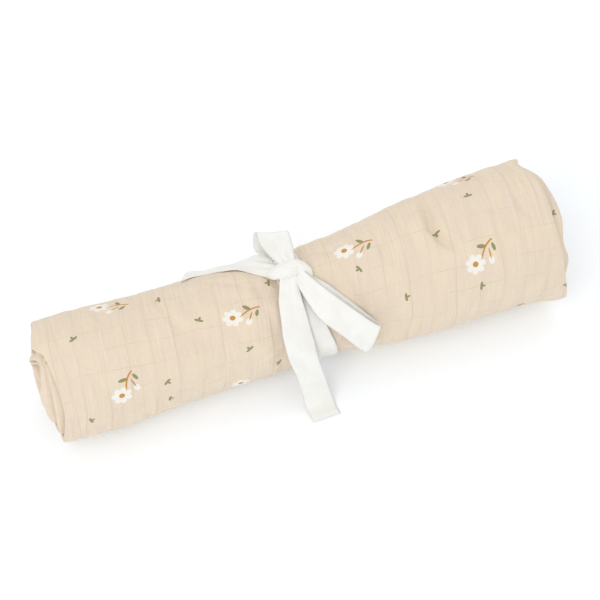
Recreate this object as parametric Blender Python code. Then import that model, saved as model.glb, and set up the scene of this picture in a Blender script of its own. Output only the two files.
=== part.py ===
"""A muslin swaddle blanket, folded to a strip, rolled up and tied with a ribbon.

Units are metres and +Z is up. The roll lies along X on the plane z = 0, with its slimmer
end at -X. One function, roll_point, gives the outer surface of the roll; the ends, the
band and every run of the ribbon are worked out from it.
"""
import math
from collections import namedtuple

import bmesh
import bpy
import numpy as np
from mathutils import Matrix

# ---- driving dimensions of the roll -------------------------------------------------
HALF_LENGTH = 0.150          # the strip that is rolled up is 0.30 m wide
COLUMNS = 44                 # points round one turn
OUTER_TURN = 0.0030          # thickness of the four layers, seen as a step at the loose edge
EDGE_ANGLE = math.radians(322)   # where the loose outer edge lies: low on the back
FLAT_SINK = 0.0010           # how far the round form is pressed flat where it rests
LINE_LIFT = 0.0005           # lift of each inner line of an end face over the resting plane
TURN_MARGIN = 1e-9           # keeps the last point of a turn on its outer layer, in radians

# Sections along the roll. x is the place, across and high are the half width and the half
# height, side is the shift of the middle towards +Y, gap is the height of the underside,
# lean tilts the section towards -X as it goes up and back, step scales the thickness of the
# loose edge.
Section = namedtuple("Section", "x across high side gap lean step")
SECTIONS = (
    Section(-0.150, 0.0372, 0.0366, -0.0010, -FLAT_SINK, 0.00, 1.0),
    Section(-0.120, 0.0372, 0.0366, -0.0010, -FLAT_SINK, 0.00, 1.0),
    Section(-0.085, 0.0360, 0.0352, -0.0003, -FLAT_SINK, 0.02, 1.0),
    Section(-0.050, 0.0352, 0.0344, 0.0006, -FLAT_SINK, 0.10, 0.8),
    Section(-0.025, 0.0342, 0.0334, -0.0002, 0.0004, 0.18, 0.4),
    Section(-0.003, 0.0314, 0.0302, -0.0004, 0.0028, 0.22, 0.2),
    Section(0.015, 0.0328, 0.0320, 0.0004, 0.0020, 0.18, 0.4),
    Section(0.040, 0.0372, 0.0366, 0.0005, -FLAT_SINK, 0.10, 0.8),
    Section(0.080, 0.0412, 0.0406, 0.0018, -FLAT_SINK, 0.02, 1.0),
    Section(0.120, 0.0432, 0.0426, 0.0022, -FLAT_SINK, 0.00, 1.0),
    Section(0.150, 0.0440, 0.0434, 0.0022, -FLAT_SINK, 0.00, 1.0),
)
LEAN_BACK = 0.8              # move along -X for each metre back and each metre up, at lean 1
LEAN_UP = 0.6
RING_STEP = 0.0078           # spacing of the rings of points along the roll
WAIST_RING_STEP = 0.0045     # closer rings where the tie pinches the roll
WAIST_REACH = 0.032

# Soft creases. Each runs from (x, turn) to (x, turn), where turn is an angle round the roll
# in degrees: 0 at the back, 90 on top, 180 in front. Depth below 0 is a ridge.
Crease = namedtuple("Crease", "x0 turn0 x1 turn1 depth width")
CREASES = (
    Crease(-0.078, 100, -0.050, 150, 0.0012, 0.0050),
    Crease(0.062, 112, 0.080, 150, 0.0022, 0.0070),
    Crease(0.028, 120, 0.050, 185, 0.0012, 0.0060),
    Crease(-0.045, 95, -0.022, 120, 0.0014, 0.0060),
    Crease(-0.040, 200, -0.022, 170, 0.0010, 0.0050),
    Crease(0.025, 60, 0.060, 40, 0.0014, 0.0070),
    Crease(-0.060, 40, -0.025, 55, 0.0012, 0.0060),
    Crease(0.110, 60, 0.075, 20, 0.0012, 0.0080),
)
CREASE_FADE = 0.12           # a crease is this share of its bow in from nothing at its tips
PLEATS = 7                   # shallow gathers round the waist
PLEAT_TURN = 0.7             # where round the waist the first gather lies, in radians
PLEAT_DEPTH = 0.0007
PLEAT_REACH = 0.020
WAIST_X = -0.005
SHARP_ANGLE = math.radians(50)   # edges sharper than this aren't shaded smooth

# ---- the wound ends -----------------------------------------------------------------
# Radius of the spiral after each full turn, as a share of the outer radius.
TURN_RADII = (0.07, 0.28, 0.50, 0.72, 0.92, 1.00)
# The lines that each turn is drawn with: where in the turn, and how far they stand out.
TurnLine = namedtuple("TurnLine", "share rise")
TURN_LINES = (
    TurnLine(0.00, 1.0),
    TurnLine(0.62, 1.0),
    TurnLine(0.82, 0.0),
)
GROOVE_DEPTH = 0.0022
# How far each end bulges: at the outer turn, half way in, and at the core.
EndBulge = namedtuple("EndBulge", "outer middle core wave wave_turn")
LEFT_END = EndBulge(0.0005, 0.0060, 0.0070, 0.0025, 225)
RIGHT_END = EndBulge(0.0015, 0.0095, 0.0060, 0.0030, 160)

# ---- the ribbon -----------------------------------------------------------------------
RIBBON_WIDTH = 0.017
RIBBON_THICK = 0.0010
BAND_LIFT = 0.0008           # air between the cloth and the band's inner face
BAND_COLUMNS = 44
BAND_ACROSS = 4              # strips of faces across the band
# Middle line of the band: how far along the roll it lies at each angle round it.
BandPlace = namedtuple("BandPlace", "turn x")
BAND_PLACES = (
    BandPlace(0, 0.0030), BandPlace(45, 0.0040), BandPlace(80, 0.0005), BandPlace(120, -0.0030),
    BandPlace(155, -0.0030), BandPlace(185, 0.0000), BandPlace(250, 0.0015), BandPlace(360, 0.0030),
)
KnotPlace = namedtuple("KnotPlace", "along turn")
KNOT_PLACE = KnotPlace(0.0005, 82)
KNOT_LIFT = 0.0057           # middle of the knot over the cloth
KNOT_HALF = (0.0062, 0.0056, 0.0034)   # along the roll, round it, outwards
KNOT_SQUARE = 0.72           # below 1 the knot's corners fill out
KNOT_AROUND = 20             # points round the knot and rows up it
KNOT_ROWS = 12

# Each run of the ribbon is a row for each section: its two edges, side by side. An edge on
# the roll is (along, turn in degrees, lift) in millimetres; one in the air is (x, y, z).
Run = namedtuple("Run", "left right")
OnRoll = namedtuple("OnRoll", "along turn lift")
InAir = namedtuple("InAir", "x y z")

FRONT_TAIL = (
    Run(OnRoll(-5.6, 94, 5.4), OnRoll(4.6, 94, 5.4)),
    Run(OnRoll(-8.0, 99, 5.0), OnRoll(3.0, 101, 5.0)),
    Run(OnRoll(-10.3, 106, 3.8), OnRoll(1.6, 111, 3.8)),
    Run(OnRoll(-16.0, 124, 3.0), OnRoll(-2.2, 134, 3.0)),
    Run(OnRoll(-20.5, 143, 3.2), OnRoll(-4.6, 158, 3.2)),
    Run(InAir(-17.6, -36.0, 40.0), InAir(-0.6, -37.0, 38.6)),
    Run(InAir(-14.0, -40.5, 24.5), InAir(2.2, -41.5, 22.4)),
    Run(InAir(-12.2, -45.5, 10.5), InAir(4.6, -45.5, 8.6)),
    Run(InAir(-11.4, -51.0, 2.4), InAir(5.8, -51.0, 1.8)),
    Run(InAir(-10.4, -58.4, 0.5), InAir(6.9, -57.9, 0.5)),
)
BACK_TAIL = (
    Run(OnRoll(-6.6, 88, 4.6), OnRoll(-6.6, 72, 5.6)),
    Run(OnRoll(-13.5, 77, 2.2), OnRoll(-14.5, 50, 6.0)),
    Run(OnRoll(-22.0, 65, 1.6), OnRoll(-23.0, 36, 4.6)),
    Run(OnRoll(-32.0, 50, 1.6), OnRoll(-33.0, 21, 2.6)),
    Run(OnRoll(-45.0, 40, 2.2), OnRoll(-45.5, 12, 2.0)),
    Run(OnRoll(-60.0, 37, 3.2), OnRoll(-57.0, 8, 3.0)),
)
FLAT_LOOP = (
    Run(OnRoll(7.3, 77, 4.6), OnRoll(7.3, 89, 4.6)),
    Run(OnRoll(10.5, 93, 3.2), OnRoll(4.5, 108, 3.8)),
    Run(OnRoll(16.7, 110, 2.4), OnRoll(5.0, 126, 3.4)),
    Run(OnRoll(25.7, 136, 2.0), OnRoll(11.6, 151, 2.2)),
    Run(OnRoll(34.5, 158, 2.2), OnRoll(20.5, 174, 2.4)),
    Run(OnRoll(38.0, 167, 4.2), OnRoll(25.0, 190, 4.4)),
    Run(OnRoll(34.0, 160, 6.2), OnRoll(22.5, 187, 6.2)),
    Run(OnRoll(25.0, 142, 6.2), OnRoll(12.0, 161, 6.2)),
    Run(OnRoll(15.0, 120, 6.4), OnRoll(4.6, 138, 6.4)),
    Run(OnRoll(9.0, 98, 7.4), OnRoll(6.6, 112, 7.2)),
    Run(OnRoll(7.5, 80, 7.4), OnRoll(7.5, 92, 7.4)),
)
STANDING_LOOP = (
    Run(InAir(-9.0, 11.1, 71.2), InAir(-0.5, 10.8, 69.4)),
    Run(InAir(-12.5, 17.0, 77.0), InAir(2.0, 15.5, 75.0)),
    Run(InAir(-16.0, 23.0, 85.0), InAir(1.5, 20.5, 82.0)),
    Run(InAir(-17.5, 27.0, 83.0), InAir(0.5, 25.0, 79.5)),
    Run(InAir(-17.0, 26.5, 77.0), InAir(0.0, 24.5, 73.5)),
    Run(InAir(-14.5, 20.5, 71.0), InAir(0.5, 19.0, 68.5)),
    Run(InAir(-10.0, 13.4, 66.4), InAir(-0.6, 12.6, 64.2)),
)
RUN_STEPS = 3                # smooth sections made between two rows
RUN_ACROSS = 3               # strips of faces across a run

# ---- finishes -------------------------------------------------------------------------
Finish = namedtuple("Finish", "name colour roughness")
MUSLIN = Finish("muslin", (0.80, 0.69, 0.56), 0.9)
WHITE_RIBBON = Finish("white_ribbon", (0.90, 0.90, 0.87), 0.6)


def smooth_column(xs, values, x):
    """Value of one column of the section table at x, on a smooth monotone-looking curve."""
    k = min(max(int(np.searchsorted(xs, x)) - 1, 0), len(xs) - 2)
    slopes = np.gradient(values, xs)
    span = xs[k + 1] - xs[k]
    t = (x - xs[k]) / span
    return ((2 * t**3 - 3 * t**2 + 1) * values[k] + (t**3 - 2 * t**2 + t) * span * slopes[k]
            + (3 * t**2 - 2 * t**3) * values[k + 1] + (t**3 - t**2) * span * slopes[k + 1])


SECTION_XS = np.array([row.x for row in SECTIONS])
SECTION_COLUMNS = {name: np.array([getattr(row, name) for row in SECTIONS])
                   for name in Section._fields[1:]}


def section_at(x):
    """The section at x, each value read from its own smooth curve."""
    return Section(x, *(smooth_column(SECTION_XS, SECTION_COLUMNS[name], x)
                        for name in Section._fields[1:]))


def crease_depth(x, turn, radius):
    """How far the creases press the surface in at x and the angle turn (radians)."""
    total = 0.0
    for crease in CREASES:
        start = np.array((crease.x0, math.radians(crease.turn0) * radius))
        along = np.array((crease.x1, math.radians(crease.turn1) * radius)) - start
        wrapped = (turn % math.tau) * radius
        offset = np.array((x, wrapped)) - start
        share = min(max(offset.dot(along) / along.dot(along), 0.0), 1.0)
        away = np.linalg.norm(offset - share * along)
        fade = math.sin(math.pi * (CREASE_FADE + (1.0 - 2.0 * CREASE_FADE) * share))
        total += crease.depth * fade * math.exp(-(away / crease.width) ** 2)
    return total


def turn_radius(turns):
    """Radius of the spiral after a number of turns, as a share of the outer radius."""
    return float(np.interp(turns, np.arange(len(TURN_RADII)), TURN_RADII))


def roll_point(x, turn, share=None, lift=0.0, floor=0.0):
    """A point of the roll.

    x is the place along the roll before its section leans, turn the angle in radians from
    the back over the top. share is the radius as a share of the outer radius, by default
    the outer surface with its loose edge. lift moves the point outwards, and nothing lies
    below floor.
    """
    row = section_at(x)
    radius = 0.5 * (row.across + row.high)
    if share is None:
        round_share = ((turn - EDGE_ANGLE) % math.tau) / math.tau
        share = 1.0 - (1.0 - round_share) * row.step * OUTER_TURN / radius
    pleat = PLEAT_DEPTH * math.cos(PLEATS * turn + PLEAT_TURN)
    pleat *= math.exp(-((x - WAIST_X) / PLEAT_REACH) ** 2)
    press = crease_depth(x, turn, radius) + pleat
    size = share * (1.0 - press / radius) + lift / radius
    up = row.high * math.sin(turn) * size
    back = row.across * math.cos(turn) * size
    z = row.gap + row.high + up
    leaning = row.lean * (LEAN_BACK * back + LEAN_UP * up)
    return np.array((x - leaning, row.side + back, max(z, floor)))


def ring_places():
    """Places of the rings along the roll, closer together at the waist."""
    places = [-HALF_LENGTH]
    while places[-1] < HALF_LENGTH:
        near = abs(places[-1] - WAIST_X) < WAIST_REACH
        places.append(places[-1] + (WAIST_RING_STEP if near else RING_STEP))
    places[-1] = HALF_LENGTH
    if places[-1] - places[-2] < WAIST_RING_STEP:
        del places[-2]
    return places


def end_point(end, x, direction, turns, turn, rise, order):
    """A point of a wound end face.

    turns is how many turns out from the core it lies, rise is 1 on a turn's crown and 0 in
    the groove between two turns, order counts the lines in from the outer surface.
    """
    share = turn_radius(turns)
    bulge = np.interp(share, (0.0, 0.5, 1.0), (end.core, end.middle, end.outer))
    wave = end.wave * math.cos(turn - math.radians(end.wave_turn)) * share
    out = bulge + wave - GROOVE_DEPTH * (1.0 - rise)
    point = roll_point(x, turn, share=share, floor=LINE_LIFT * order)
    return point + np.array((direction * out, 0.0, 0.0))


def add_object(name, mesh_builder, material, collection):
    """Make a smooth-shaded mesh object from a bmesh, with its faces outwards, and link it."""
    bmesh.ops.recalc_face_normals(mesh_builder, faces=mesh_builder.faces)
    mesh = bpy.data.meshes.new(name)
    mesh_builder.to_mesh(mesh)
    mesh_builder.free()
    mesh.materials.append(material)
    mesh.shade_smooth()
    mesh.set_sharp_from_angle(angle=SHARP_ANGLE)
    piece = bpy.data.objects.new(name, mesh)
    collection.objects.link(piece)
    return piece


def make_material(finish):
    """A plain cloth finish."""
    material = bpy.data.materials.new(finish.name)
    material.use_nodes = True
    shader = material.node_tree.nodes["Principled BSDF"]
    shader.inputs["Base Color"].default_value = (*finish.colour, 1.0)
    shader.inputs["Roughness"].default_value = finish.roughness
    shader.inputs["Metallic"].default_value = 0.0
    return material


def build_roll(material, collection):
    """The rolled cloth: one closed body with a spiral at each end and a loose outer edge."""
    body = bmesh.new()
    lines = len(TURN_LINES)
    whole_turns = len(TURN_RADII) - 2
    last = whole_turns * lines
    angles = [EDGE_ANGLE + math.tau * j / COLUMNS for j in range(COLUMNS + 1)]
    ring_angles = angles[:-1] + [angles[-1] - TURN_MARGIN]

    def spiral_face(end, x, direction):
        """Points of one end face, by line from the core out and by column."""
        grid = []
        for k in range(last + 1):
            line = TURN_LINES[k % lines]
            start = k // lines + line.share
            row = []
            for j, angle in enumerate(angles):
                if j == COLUMNS and k + lines <= last:
                    row.append(None)
                    continue
                turns = start + j / COLUMNS
                row.append(body.verts.new(end_point(end, x, direction, turns, angle,
                                                    line.rise, last - k)))
            grid.append(row)
        for k in range(last + 1 - lines):
            grid[k][COLUMNS] = grid[k + lines][0]
        return grid

    left = spiral_face(LEFT_END, -HALF_LENGTH, -1.0)
    right = spiral_face(RIGHT_END, HALF_LENGTH, 1.0)
    rings = [left[last]]
    for x in ring_places()[1:-1]:
        rings.append([body.verts.new(roll_point(x, angle)) for angle in ring_angles])
    rings.append(right[last])

    for ring, following in zip(rings, rings[1:]):
        for j in range(COLUMNS):
            body.faces.new((ring[j], ring[j + 1], following[j + 1], following[j]))
    for number, (ring, following) in enumerate(zip(rings, rings[1:])):
        start = [ring[COLUMNS], ring[0]]
        if number == 0:
            start = [left[k][COLUMNS] for k in range(last, last - lines, -1)] + [ring[0]]
        close = [following[0], following[COLUMNS]]
        if number == len(rings) - 2:
            close = [following[0]] + [right[k][COLUMNS] for k in range(last - lines + 1, last + 1)]
        body.faces.new(start + close)
    for grid in (left, right):
        for k in range(last):
            for j in range(COLUMNS):
                body.faces.new((grid[k][j], grid[k + 1][j], grid[k + 1][j + 1], grid[k][j + 1]))
        core = [grid[0][j] for j in range(COLUMNS + 1)]
        core += [grid[k][0] for k in range(lines - 1, 0, -1)]
        body.faces.new(core)
    bmesh.ops.triangulate(body, faces=body.faces)
    return add_object("blanket_roll", body, material, collection)


def ribbon_edge(edge):
    """World place of one edge of a run's row."""
    if isinstance(edge, InAir):
        return np.array(edge) / 1000.0
    return roll_point(edge.along / 1000.0, math.radians(edge.turn), lift=edge.lift / 1000.0)


def run_row(row, share):
    """A point between the two edges of a row, on the curve of the roll where both lie on it."""
    if isinstance(row.left, OnRoll) and isinstance(row.right, OnRoll):
        mixed = OnRoll(*(a + (b - a) * share for a, b in zip(row.left, row.right)))
        return ribbon_edge(mixed)
    return ribbon_edge(row.left) * (1.0 - share) + ribbon_edge(row.right) * share


def run_surface(rows):
    """Middle surface of a run: points by section along it and by place across it."""
    across = [[run_row(row, k / RUN_ACROSS) for k in range(RUN_ACROSS + 1)] for row in rows]
    knots = np.array(across)
    padded = np.concatenate((2 * knots[:1] - knots[1:2], knots, 2 * knots[-1:] - knots[-2:-1]))
    sections = []
    for k in range(len(rows) - 1):
        before, start, end, after = padded[k:k + 4]
        for step in range(RUN_STEPS):
            t = step / RUN_STEPS
            sections.append(0.5 * (2 * start + (end - before) * t
                                   + (2 * before - 5 * start + 4 * end - after) * t**2
                                   + (3 * start - 3 * end + after - before) * t**3))
    sections.append(knots[-1])
    return np.array(sections)


def build_run(name, rows, material, collection):
    """One run of the ribbon: its middle surface given a thickness on both sides."""
    middle = run_surface(rows)
    along = np.gradient(middle, axis=0)
    over = np.gradient(middle, axis=1)
    normal = np.cross(along, over)
    normal /= np.linalg.norm(normal, axis=2, keepdims=True)
    faces = []
    body = bmesh.new()
    for side in (-0.5, 0.5):
        points = middle + normal * RIBBON_THICK * side
        points[..., 2] = np.maximum(points[..., 2], 0.0 if side < 0 else RIBBON_THICK)
        faces.append([[body.verts.new(point) for point in section] for section in points])
    lower, upper = faces
    rows_in, columns = middle.shape[0], middle.shape[1]
    for i in range(rows_in - 1):
        for k in range(columns - 1):
            body.faces.new((lower[i][k], lower[i + 1][k], lower[i + 1][k + 1], lower[i][k + 1]))
            body.faces.new((upper[i][k], upper[i][k + 1], upper[i + 1][k + 1], upper[i + 1][k]))
        for k in (0, columns - 1):
            body.faces.new((lower[i][k], upper[i][k], upper[i + 1][k], lower[i + 1][k]))
    for i in (0, rows_in - 1):
        for k in range(columns - 1):
            body.faces.new((lower[i][k], lower[i][k + 1], upper[i][k + 1], upper[i][k]))
    return add_object(name, body, material, collection)


def build_band(material, collection):
    """The ribbon round the waist: a closed ring that follows the cloth."""
    turns = np.array([place.turn for place in BAND_PLACES])
    places = np.array([place.x for place in BAND_PLACES])
    body = bmesh.new()
    loops = []
    for j in range(BAND_COLUMNS):
        turn = 360.0 * j / BAND_COLUMNS
        middle = smooth_column(turns, places, turn)
        ring = []
        for lift, order in ((BAND_LIFT, 1), (BAND_LIFT + RIBBON_THICK, -1)):
            for k in range(BAND_ACROSS + 1)[::order]:
                x = middle + RIBBON_WIDTH * (k / BAND_ACROSS - 0.5)
                ring.append(body.verts.new(roll_point(x, math.radians(turn), lift=lift)))
        loops.append(ring)
    for ring, following in zip(loops, loops[1:] + loops[:1]):
        for k in range(len(ring)):
            beside = (k + 1) % len(ring)
            body.faces.new((ring[k], ring[beside], following[beside], following[k]))
    return add_object("ribbon_band", body, material, collection)


def build_knot(material, collection):
    """The knot: a ball drawn out to a soft-cornered lump that sits over the band."""
    along, turn = KNOT_PLACE.along, math.radians(KNOT_PLACE.turn)
    middle = roll_point(along, turn, lift=KNOT_LIFT)
    outward = middle - roll_point(along, turn)
    outward /= np.linalg.norm(outward)
    beside = np.array((1.0, 0.0, 0.0)) - outward * outward[0]
    beside /= np.linalg.norm(beside)
    round_it = np.cross(outward, beside)
    body = bmesh.new()
    bmesh.ops.create_uvsphere(body, u_segments=KNOT_AROUND, v_segments=KNOT_ROWS, radius=1.0)
    for vert in body.verts:
        place = np.array(vert.co)
        square = np.sign(place) * np.abs(place) ** KNOT_SQUARE
        square *= np.array(KNOT_HALF)
        vert.co = middle + beside * square[0] + round_it * square[1] + outward * square[2]
    return add_object("ribbon_knot", body, material, collection)


def centre_on_footprint(pieces):
    """Move the meshes so that the origin is in the middle of the footprint, on z = 0."""
    corners = np.array([vert.co for piece in pieces for vert in piece.data.vertices])
    middle = 0.5 * (corners.min(axis=0) + corners.max(axis=0))
    for piece in pieces:
        piece.data.transform(Matrix.Translation((-middle[0], -middle[1], 0.0)))


def main():
    """Clear the scene and build every piece."""
    for old in list(bpy.data.objects):
        bpy.data.objects.remove(old, do_unlink=True)
    collection = bpy.data.collections.new("swaddle_blanket")
    bpy.context.scene.collection.children.link(collection)
    muslin = make_material(MUSLIN)
    ribbon = make_material(WHITE_RIBBON)
    pieces = [
        build_roll(muslin, collection),
        build_band(ribbon, collection),
        build_knot(ribbon, collection),
        build_run("ribbon_front_tail", FRONT_TAIL, ribbon, collection),
        build_run("ribbon_back_tail", BACK_TAIL, ribbon, collection),
        build_run("ribbon_flat_loop", FLAT_LOOP, ribbon, collection),
        build_run("ribbon_standing_loop", STANDING_LOOP, ribbon, collection),
    ]
    centre_on_footprint(pieces)


main()
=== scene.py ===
"""A muslin swaddle blanket, rolled up and tied with a ribbon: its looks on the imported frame.

The frame gives the place of every piece. The roll's outer surface is worked out from the same
table of sections as the solid. The folded strip that is rolled up is one closed surface, with
doubled lips at both ends of the roll and a loose outer edge, and the ribbon's runs follow the
same rows as their solids. Metres throughout, +Z up.
"""
import logging
import math
from collections.abc import Sequence
from dataclasses import dataclass
from enum import Enum
from functools import cached_property, reduce

import bmesh
import bpy
import numpy as np
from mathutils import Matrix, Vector


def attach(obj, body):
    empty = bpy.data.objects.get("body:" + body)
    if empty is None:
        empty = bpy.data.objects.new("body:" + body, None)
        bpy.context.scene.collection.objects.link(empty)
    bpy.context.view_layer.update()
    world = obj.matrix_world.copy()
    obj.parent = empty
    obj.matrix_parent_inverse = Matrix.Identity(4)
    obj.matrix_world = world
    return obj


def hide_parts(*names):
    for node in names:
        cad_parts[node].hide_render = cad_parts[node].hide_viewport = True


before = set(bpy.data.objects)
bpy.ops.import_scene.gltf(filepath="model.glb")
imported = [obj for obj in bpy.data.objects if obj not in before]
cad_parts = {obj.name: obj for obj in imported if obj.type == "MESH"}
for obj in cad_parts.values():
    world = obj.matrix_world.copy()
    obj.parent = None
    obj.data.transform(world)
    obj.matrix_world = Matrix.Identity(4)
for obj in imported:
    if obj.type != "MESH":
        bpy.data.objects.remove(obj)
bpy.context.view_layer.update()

log = logging.getLogger("swaddle")
BODY = "root"
MM = 0.001
THREAD_PITCH = 0.0139
Array = np.ndarray
Pair = tuple[float, float]
Spot = tuple[float, float, float]
Colour = tuple[float, float, float]
Number = "Value | float"


class Held(Enum):
    """How a sheet is held."""

    DRAPED = "draped"
    FOLDED = "folded"
    LAID = "laid"


def srgb(red: float, green: float, blue: float) -> Colour:
    """A colour given in 0 to 255 as linear light: the standard curve, channel by channel."""
    shares = (channel / 255.0 for channel in (red, green, blue))
    return tuple(c / 12.92 if c <= 0.04045 else ((c + 0.055) / 1.055) ** 2.4 for c in shares)


def smooth_ramp(low: float, high: float, value: Array) -> Array:
    """0 at low, 1 at high, held beyond them, and the cubic 3t^2 - 2t^3 between."""
    t = np.clip((value - low) / (high - low), 0.0, 1.0)
    return t * t * (3.0 - 2.0 * t)


def cubic_between(at: Array, values: Array, x: Array) -> Array:
    """A smooth curve through rows of values.

    Between two rows it is the cubic that has the slope of its neighbours at both ends.

    Args:
        at: where the rows stand, in rising order.
        values: the value of each row.
        x: where to read the curve; past its ends the end values hold.

    Returns:
        Values with the shape of x.
    """
    slopes = np.gradient(values, at)
    x = np.clip(x, at[0], at[-1])
    k = np.clip(np.searchsorted(at, x) - 1, 0, len(at) - 2)
    span = at[k + 1] - at[k]
    t = (x - at[k]) / span
    return ((2 * t**3 - 3 * t**2 + 1) * values[k] + (t**3 - 2 * t**2 + t) * span * slopes[k]
            + (3 * t**2 - 2 * t**3) * values[k + 1] + (t**3 - t**2) * span * slopes[k + 1])


# ---- irregularities -----------------------------------------------------------------------
@dataclass(frozen=True)
class RandomField:
    """A smooth random height over a rectangle that repeats, with a mean of 0 and a spread of 1.

    White noise from a fixed seed is filtered so that waves of the given lengths are strongest.
    """

    seed: int
    span: Pair
    wave: Pair
    steps: tuple[int, int] = (512, 512)

    @cached_property
    def heights(self) -> Array:
        """The field on its grid: each wave is scaled by k^2 exp(-k^2), k = wave length / its own."""
        noise = np.random.default_rng(self.seed).standard_normal(self.steps)
        along = np.fft.fftfreq(self.steps[0], self.span[0] / self.steps[0])[:, None] * self.wave[0]
        across = np.fft.rfftfreq(self.steps[1], self.span[1] / self.steps[1])[None, :] * self.wave[1]
        size = along**2 + across**2
        field = np.fft.irfft2(np.fft.rfft2(noise) * size * np.exp(-size), self.steps)
        return field / field.std()

    def at(self, u: Array, v: Array) -> Array:
        """The height at a place, read between the four nearest points of the grid.

        Args:
            u: places one way, in metres.
            v: places the other way.

        Returns:
            Heights with the shape of u and v.
        """
        a = np.mod(u / self.span[0], 1.0) * self.steps[0]
        b = np.mod(v / self.span[1], 1.0) * self.steps[1]
        i, j = np.floor(a).astype(int), np.floor(b).astype(int)
        s, t = a - i, b - j
        i, j = i % self.steps[0], j % self.steps[1]
        k, m = (i + 1) % self.steps[0], (j + 1) % self.steps[1]
        grid = self.heights
        return ((grid[i, j] * (1 - s) + grid[k, j] * s) * (1 - t)
                + (grid[i, m] * (1 - s) + grid[k, m] * s) * t)


@dataclass(frozen=True)
class Wander:
    """A smooth random line: a sum of sines with seeded phases and falling sizes."""

    seed: int
    rate: float
    waves: int = 5
    rate_step: float = 0.83
    size: float = 1.6

    def at(self, t: Array) -> Array:
        """The line's value, mostly between -1 and 1.

        Args:
            t: places along the line.

        Returns:
            Values with the shape of t.
        """
        rng = np.random.default_rng(self.seed)
        phases = rng.uniform(0.0, math.tau, self.waves)
        rates = self.rate * (1.0 + np.arange(self.waves) * self.rate_step)
        sizes = 1.0 / (1.0 + np.arange(self.waves))
        total = np.sin(np.asarray(t)[..., None] * rates * math.tau + phases) @ sizes
        return total / sizes.sum() * self.size


# ---- meshes -------------------------------------------------------------------------------
def turn_outwards(mesh: bpy.types.Mesh, weld: float = 0.0) -> None:
    """Turn a closed mesh's faces outwards.

    Args:
        mesh: the mesh.
        weld: vertices no further apart than this are joined first.
    """
    body = bmesh.new()
    body.from_mesh(mesh)
    if weld:
        bmesh.ops.remove_doubles(body, verts=body.verts, dist=weld)
    bmesh.ops.recalc_face_normals(body, faces=body.faces)
    body.to_mesh(mesh)
    body.free()


def new_piece(name: str, points: Array, faces: Sequence[Sequence[int]],
              cloth: Array | None = None, closed: bool = False) -> bpy.types.Object:
    """Make a smooth-shaded mesh object at the origin.

    Args:
        name: the piece's name.
        points: the vertices, one row each.
        faces: the vertex numbers of each face, in order round it.
        cloth: three numbers for each vertex, kept as the attribute "cloth": its place across and
            along the flat cloth, and its distance from the cloth's middle line where a hem needs it.
        closed: whether the faces are to be turned outwards.

    Returns:
        The new object, linked to the scene.
    """
    mesh = bpy.data.meshes.new(name)
    mesh.from_pydata(points.reshape(-1, 3), [], faces)
    if closed:
        turn_outwards(mesh)
    mesh.shade_smooth()
    if cloth is not None:
        layer = mesh.attributes.new("cloth", "FLOAT_VECTOR", "POINT")
        layer.data.foreach_set("vector", cloth.astype(np.float32).ravel())
    piece = bpy.data.objects.new(name, mesh)
    bpy.context.scene.collection.objects.link(piece)
    return piece


def vertex_ids(points: Array, first: int = 0) -> Array:
    """The vertex numbers of a grid of points, by row and column, counted from the first."""
    return first + np.arange(points[..., 0].size).reshape(points.shape[:2])


def cloth_rows(across: Array, along: Array) -> Array:
    """The "cloth" attribute of a piece without a hem: places across and along, and 0."""
    return np.stack(np.broadcast_arrays(across, along, 0.0), axis=-1)


def grid_faces(ids: Array, wrap: bool = False) -> list[list[int]]:
    """Quads between neighbouring rows and columns of a grid of vertex numbers.

    Args:
        ids: vertex numbers by row and column.
        wrap: whether the last column joins the first.

    Returns:
        The four vertex numbers of each quad.
    """
    following = np.roll(ids, -1, axis=1)
    if not wrap:
        ids, following = ids[:, :-1], following[:, :-1]
    quads = np.stack((ids[:-1], ids[1:], following[1:], following[:-1]), axis=-1)
    return quads.reshape(-1, 4).tolist()


def path_lengths(points: Array, axis: int) -> Array:
    """Distance along one axis of a grid of points, from its start: the sum of the steps so far.

    Args:
        points: the grid.
        axis: the axis that the paths follow.

    Returns:
        A distance for each point.
    """
    steps = np.linalg.norm(np.diff(points, axis=axis), axis=-1)
    start = np.zeros_like(np.take(steps, [0], axis=axis))
    return np.concatenate((start, np.cumsum(steps, axis=axis)), axis=axis)


# ---- the roll's form, as in the solid -------------------------------------------------------
@dataclass(frozen=True)
class Section:
    """A section of the roll at x: half width, half height, shift of its middle towards +Y,
    height of its underside, lean towards -X, and the share of the loose edge's step."""

    x: float
    across: float
    high: float
    side: float
    gap: float
    lean: float
    step: float


def from_line(x: Array, arc: Array, start: Sequence, step: Sequence) -> tuple[Array, Array, Array]:
    """How points lie beside a straight line on the roll: the nearest point of it is start + t step.

    Args:
        x: places along the roll.
        arc: ways round it.
        start: the line's first point, along and round.
        step: from there to its last point.

    Returns:
        The share t, and the distances from the nearest point along and round.
    """
    t = ((x - start[0]) * step[0] + (arc - start[1]) * step[1]) / (step[0]**2 + step[1]**2)
    t = np.clip(t, 0.0, 1.0)
    return t, x - start[0] - t * step[0], arc - start[1] - t * step[1]


@dataclass(frozen=True)
class Crease:
    """A soft trough on the roll, from one place to another, in metres along and degrees round."""

    x0: float
    turn0: float
    x1: float
    turn1: float
    depth: float
    width: float


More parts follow.
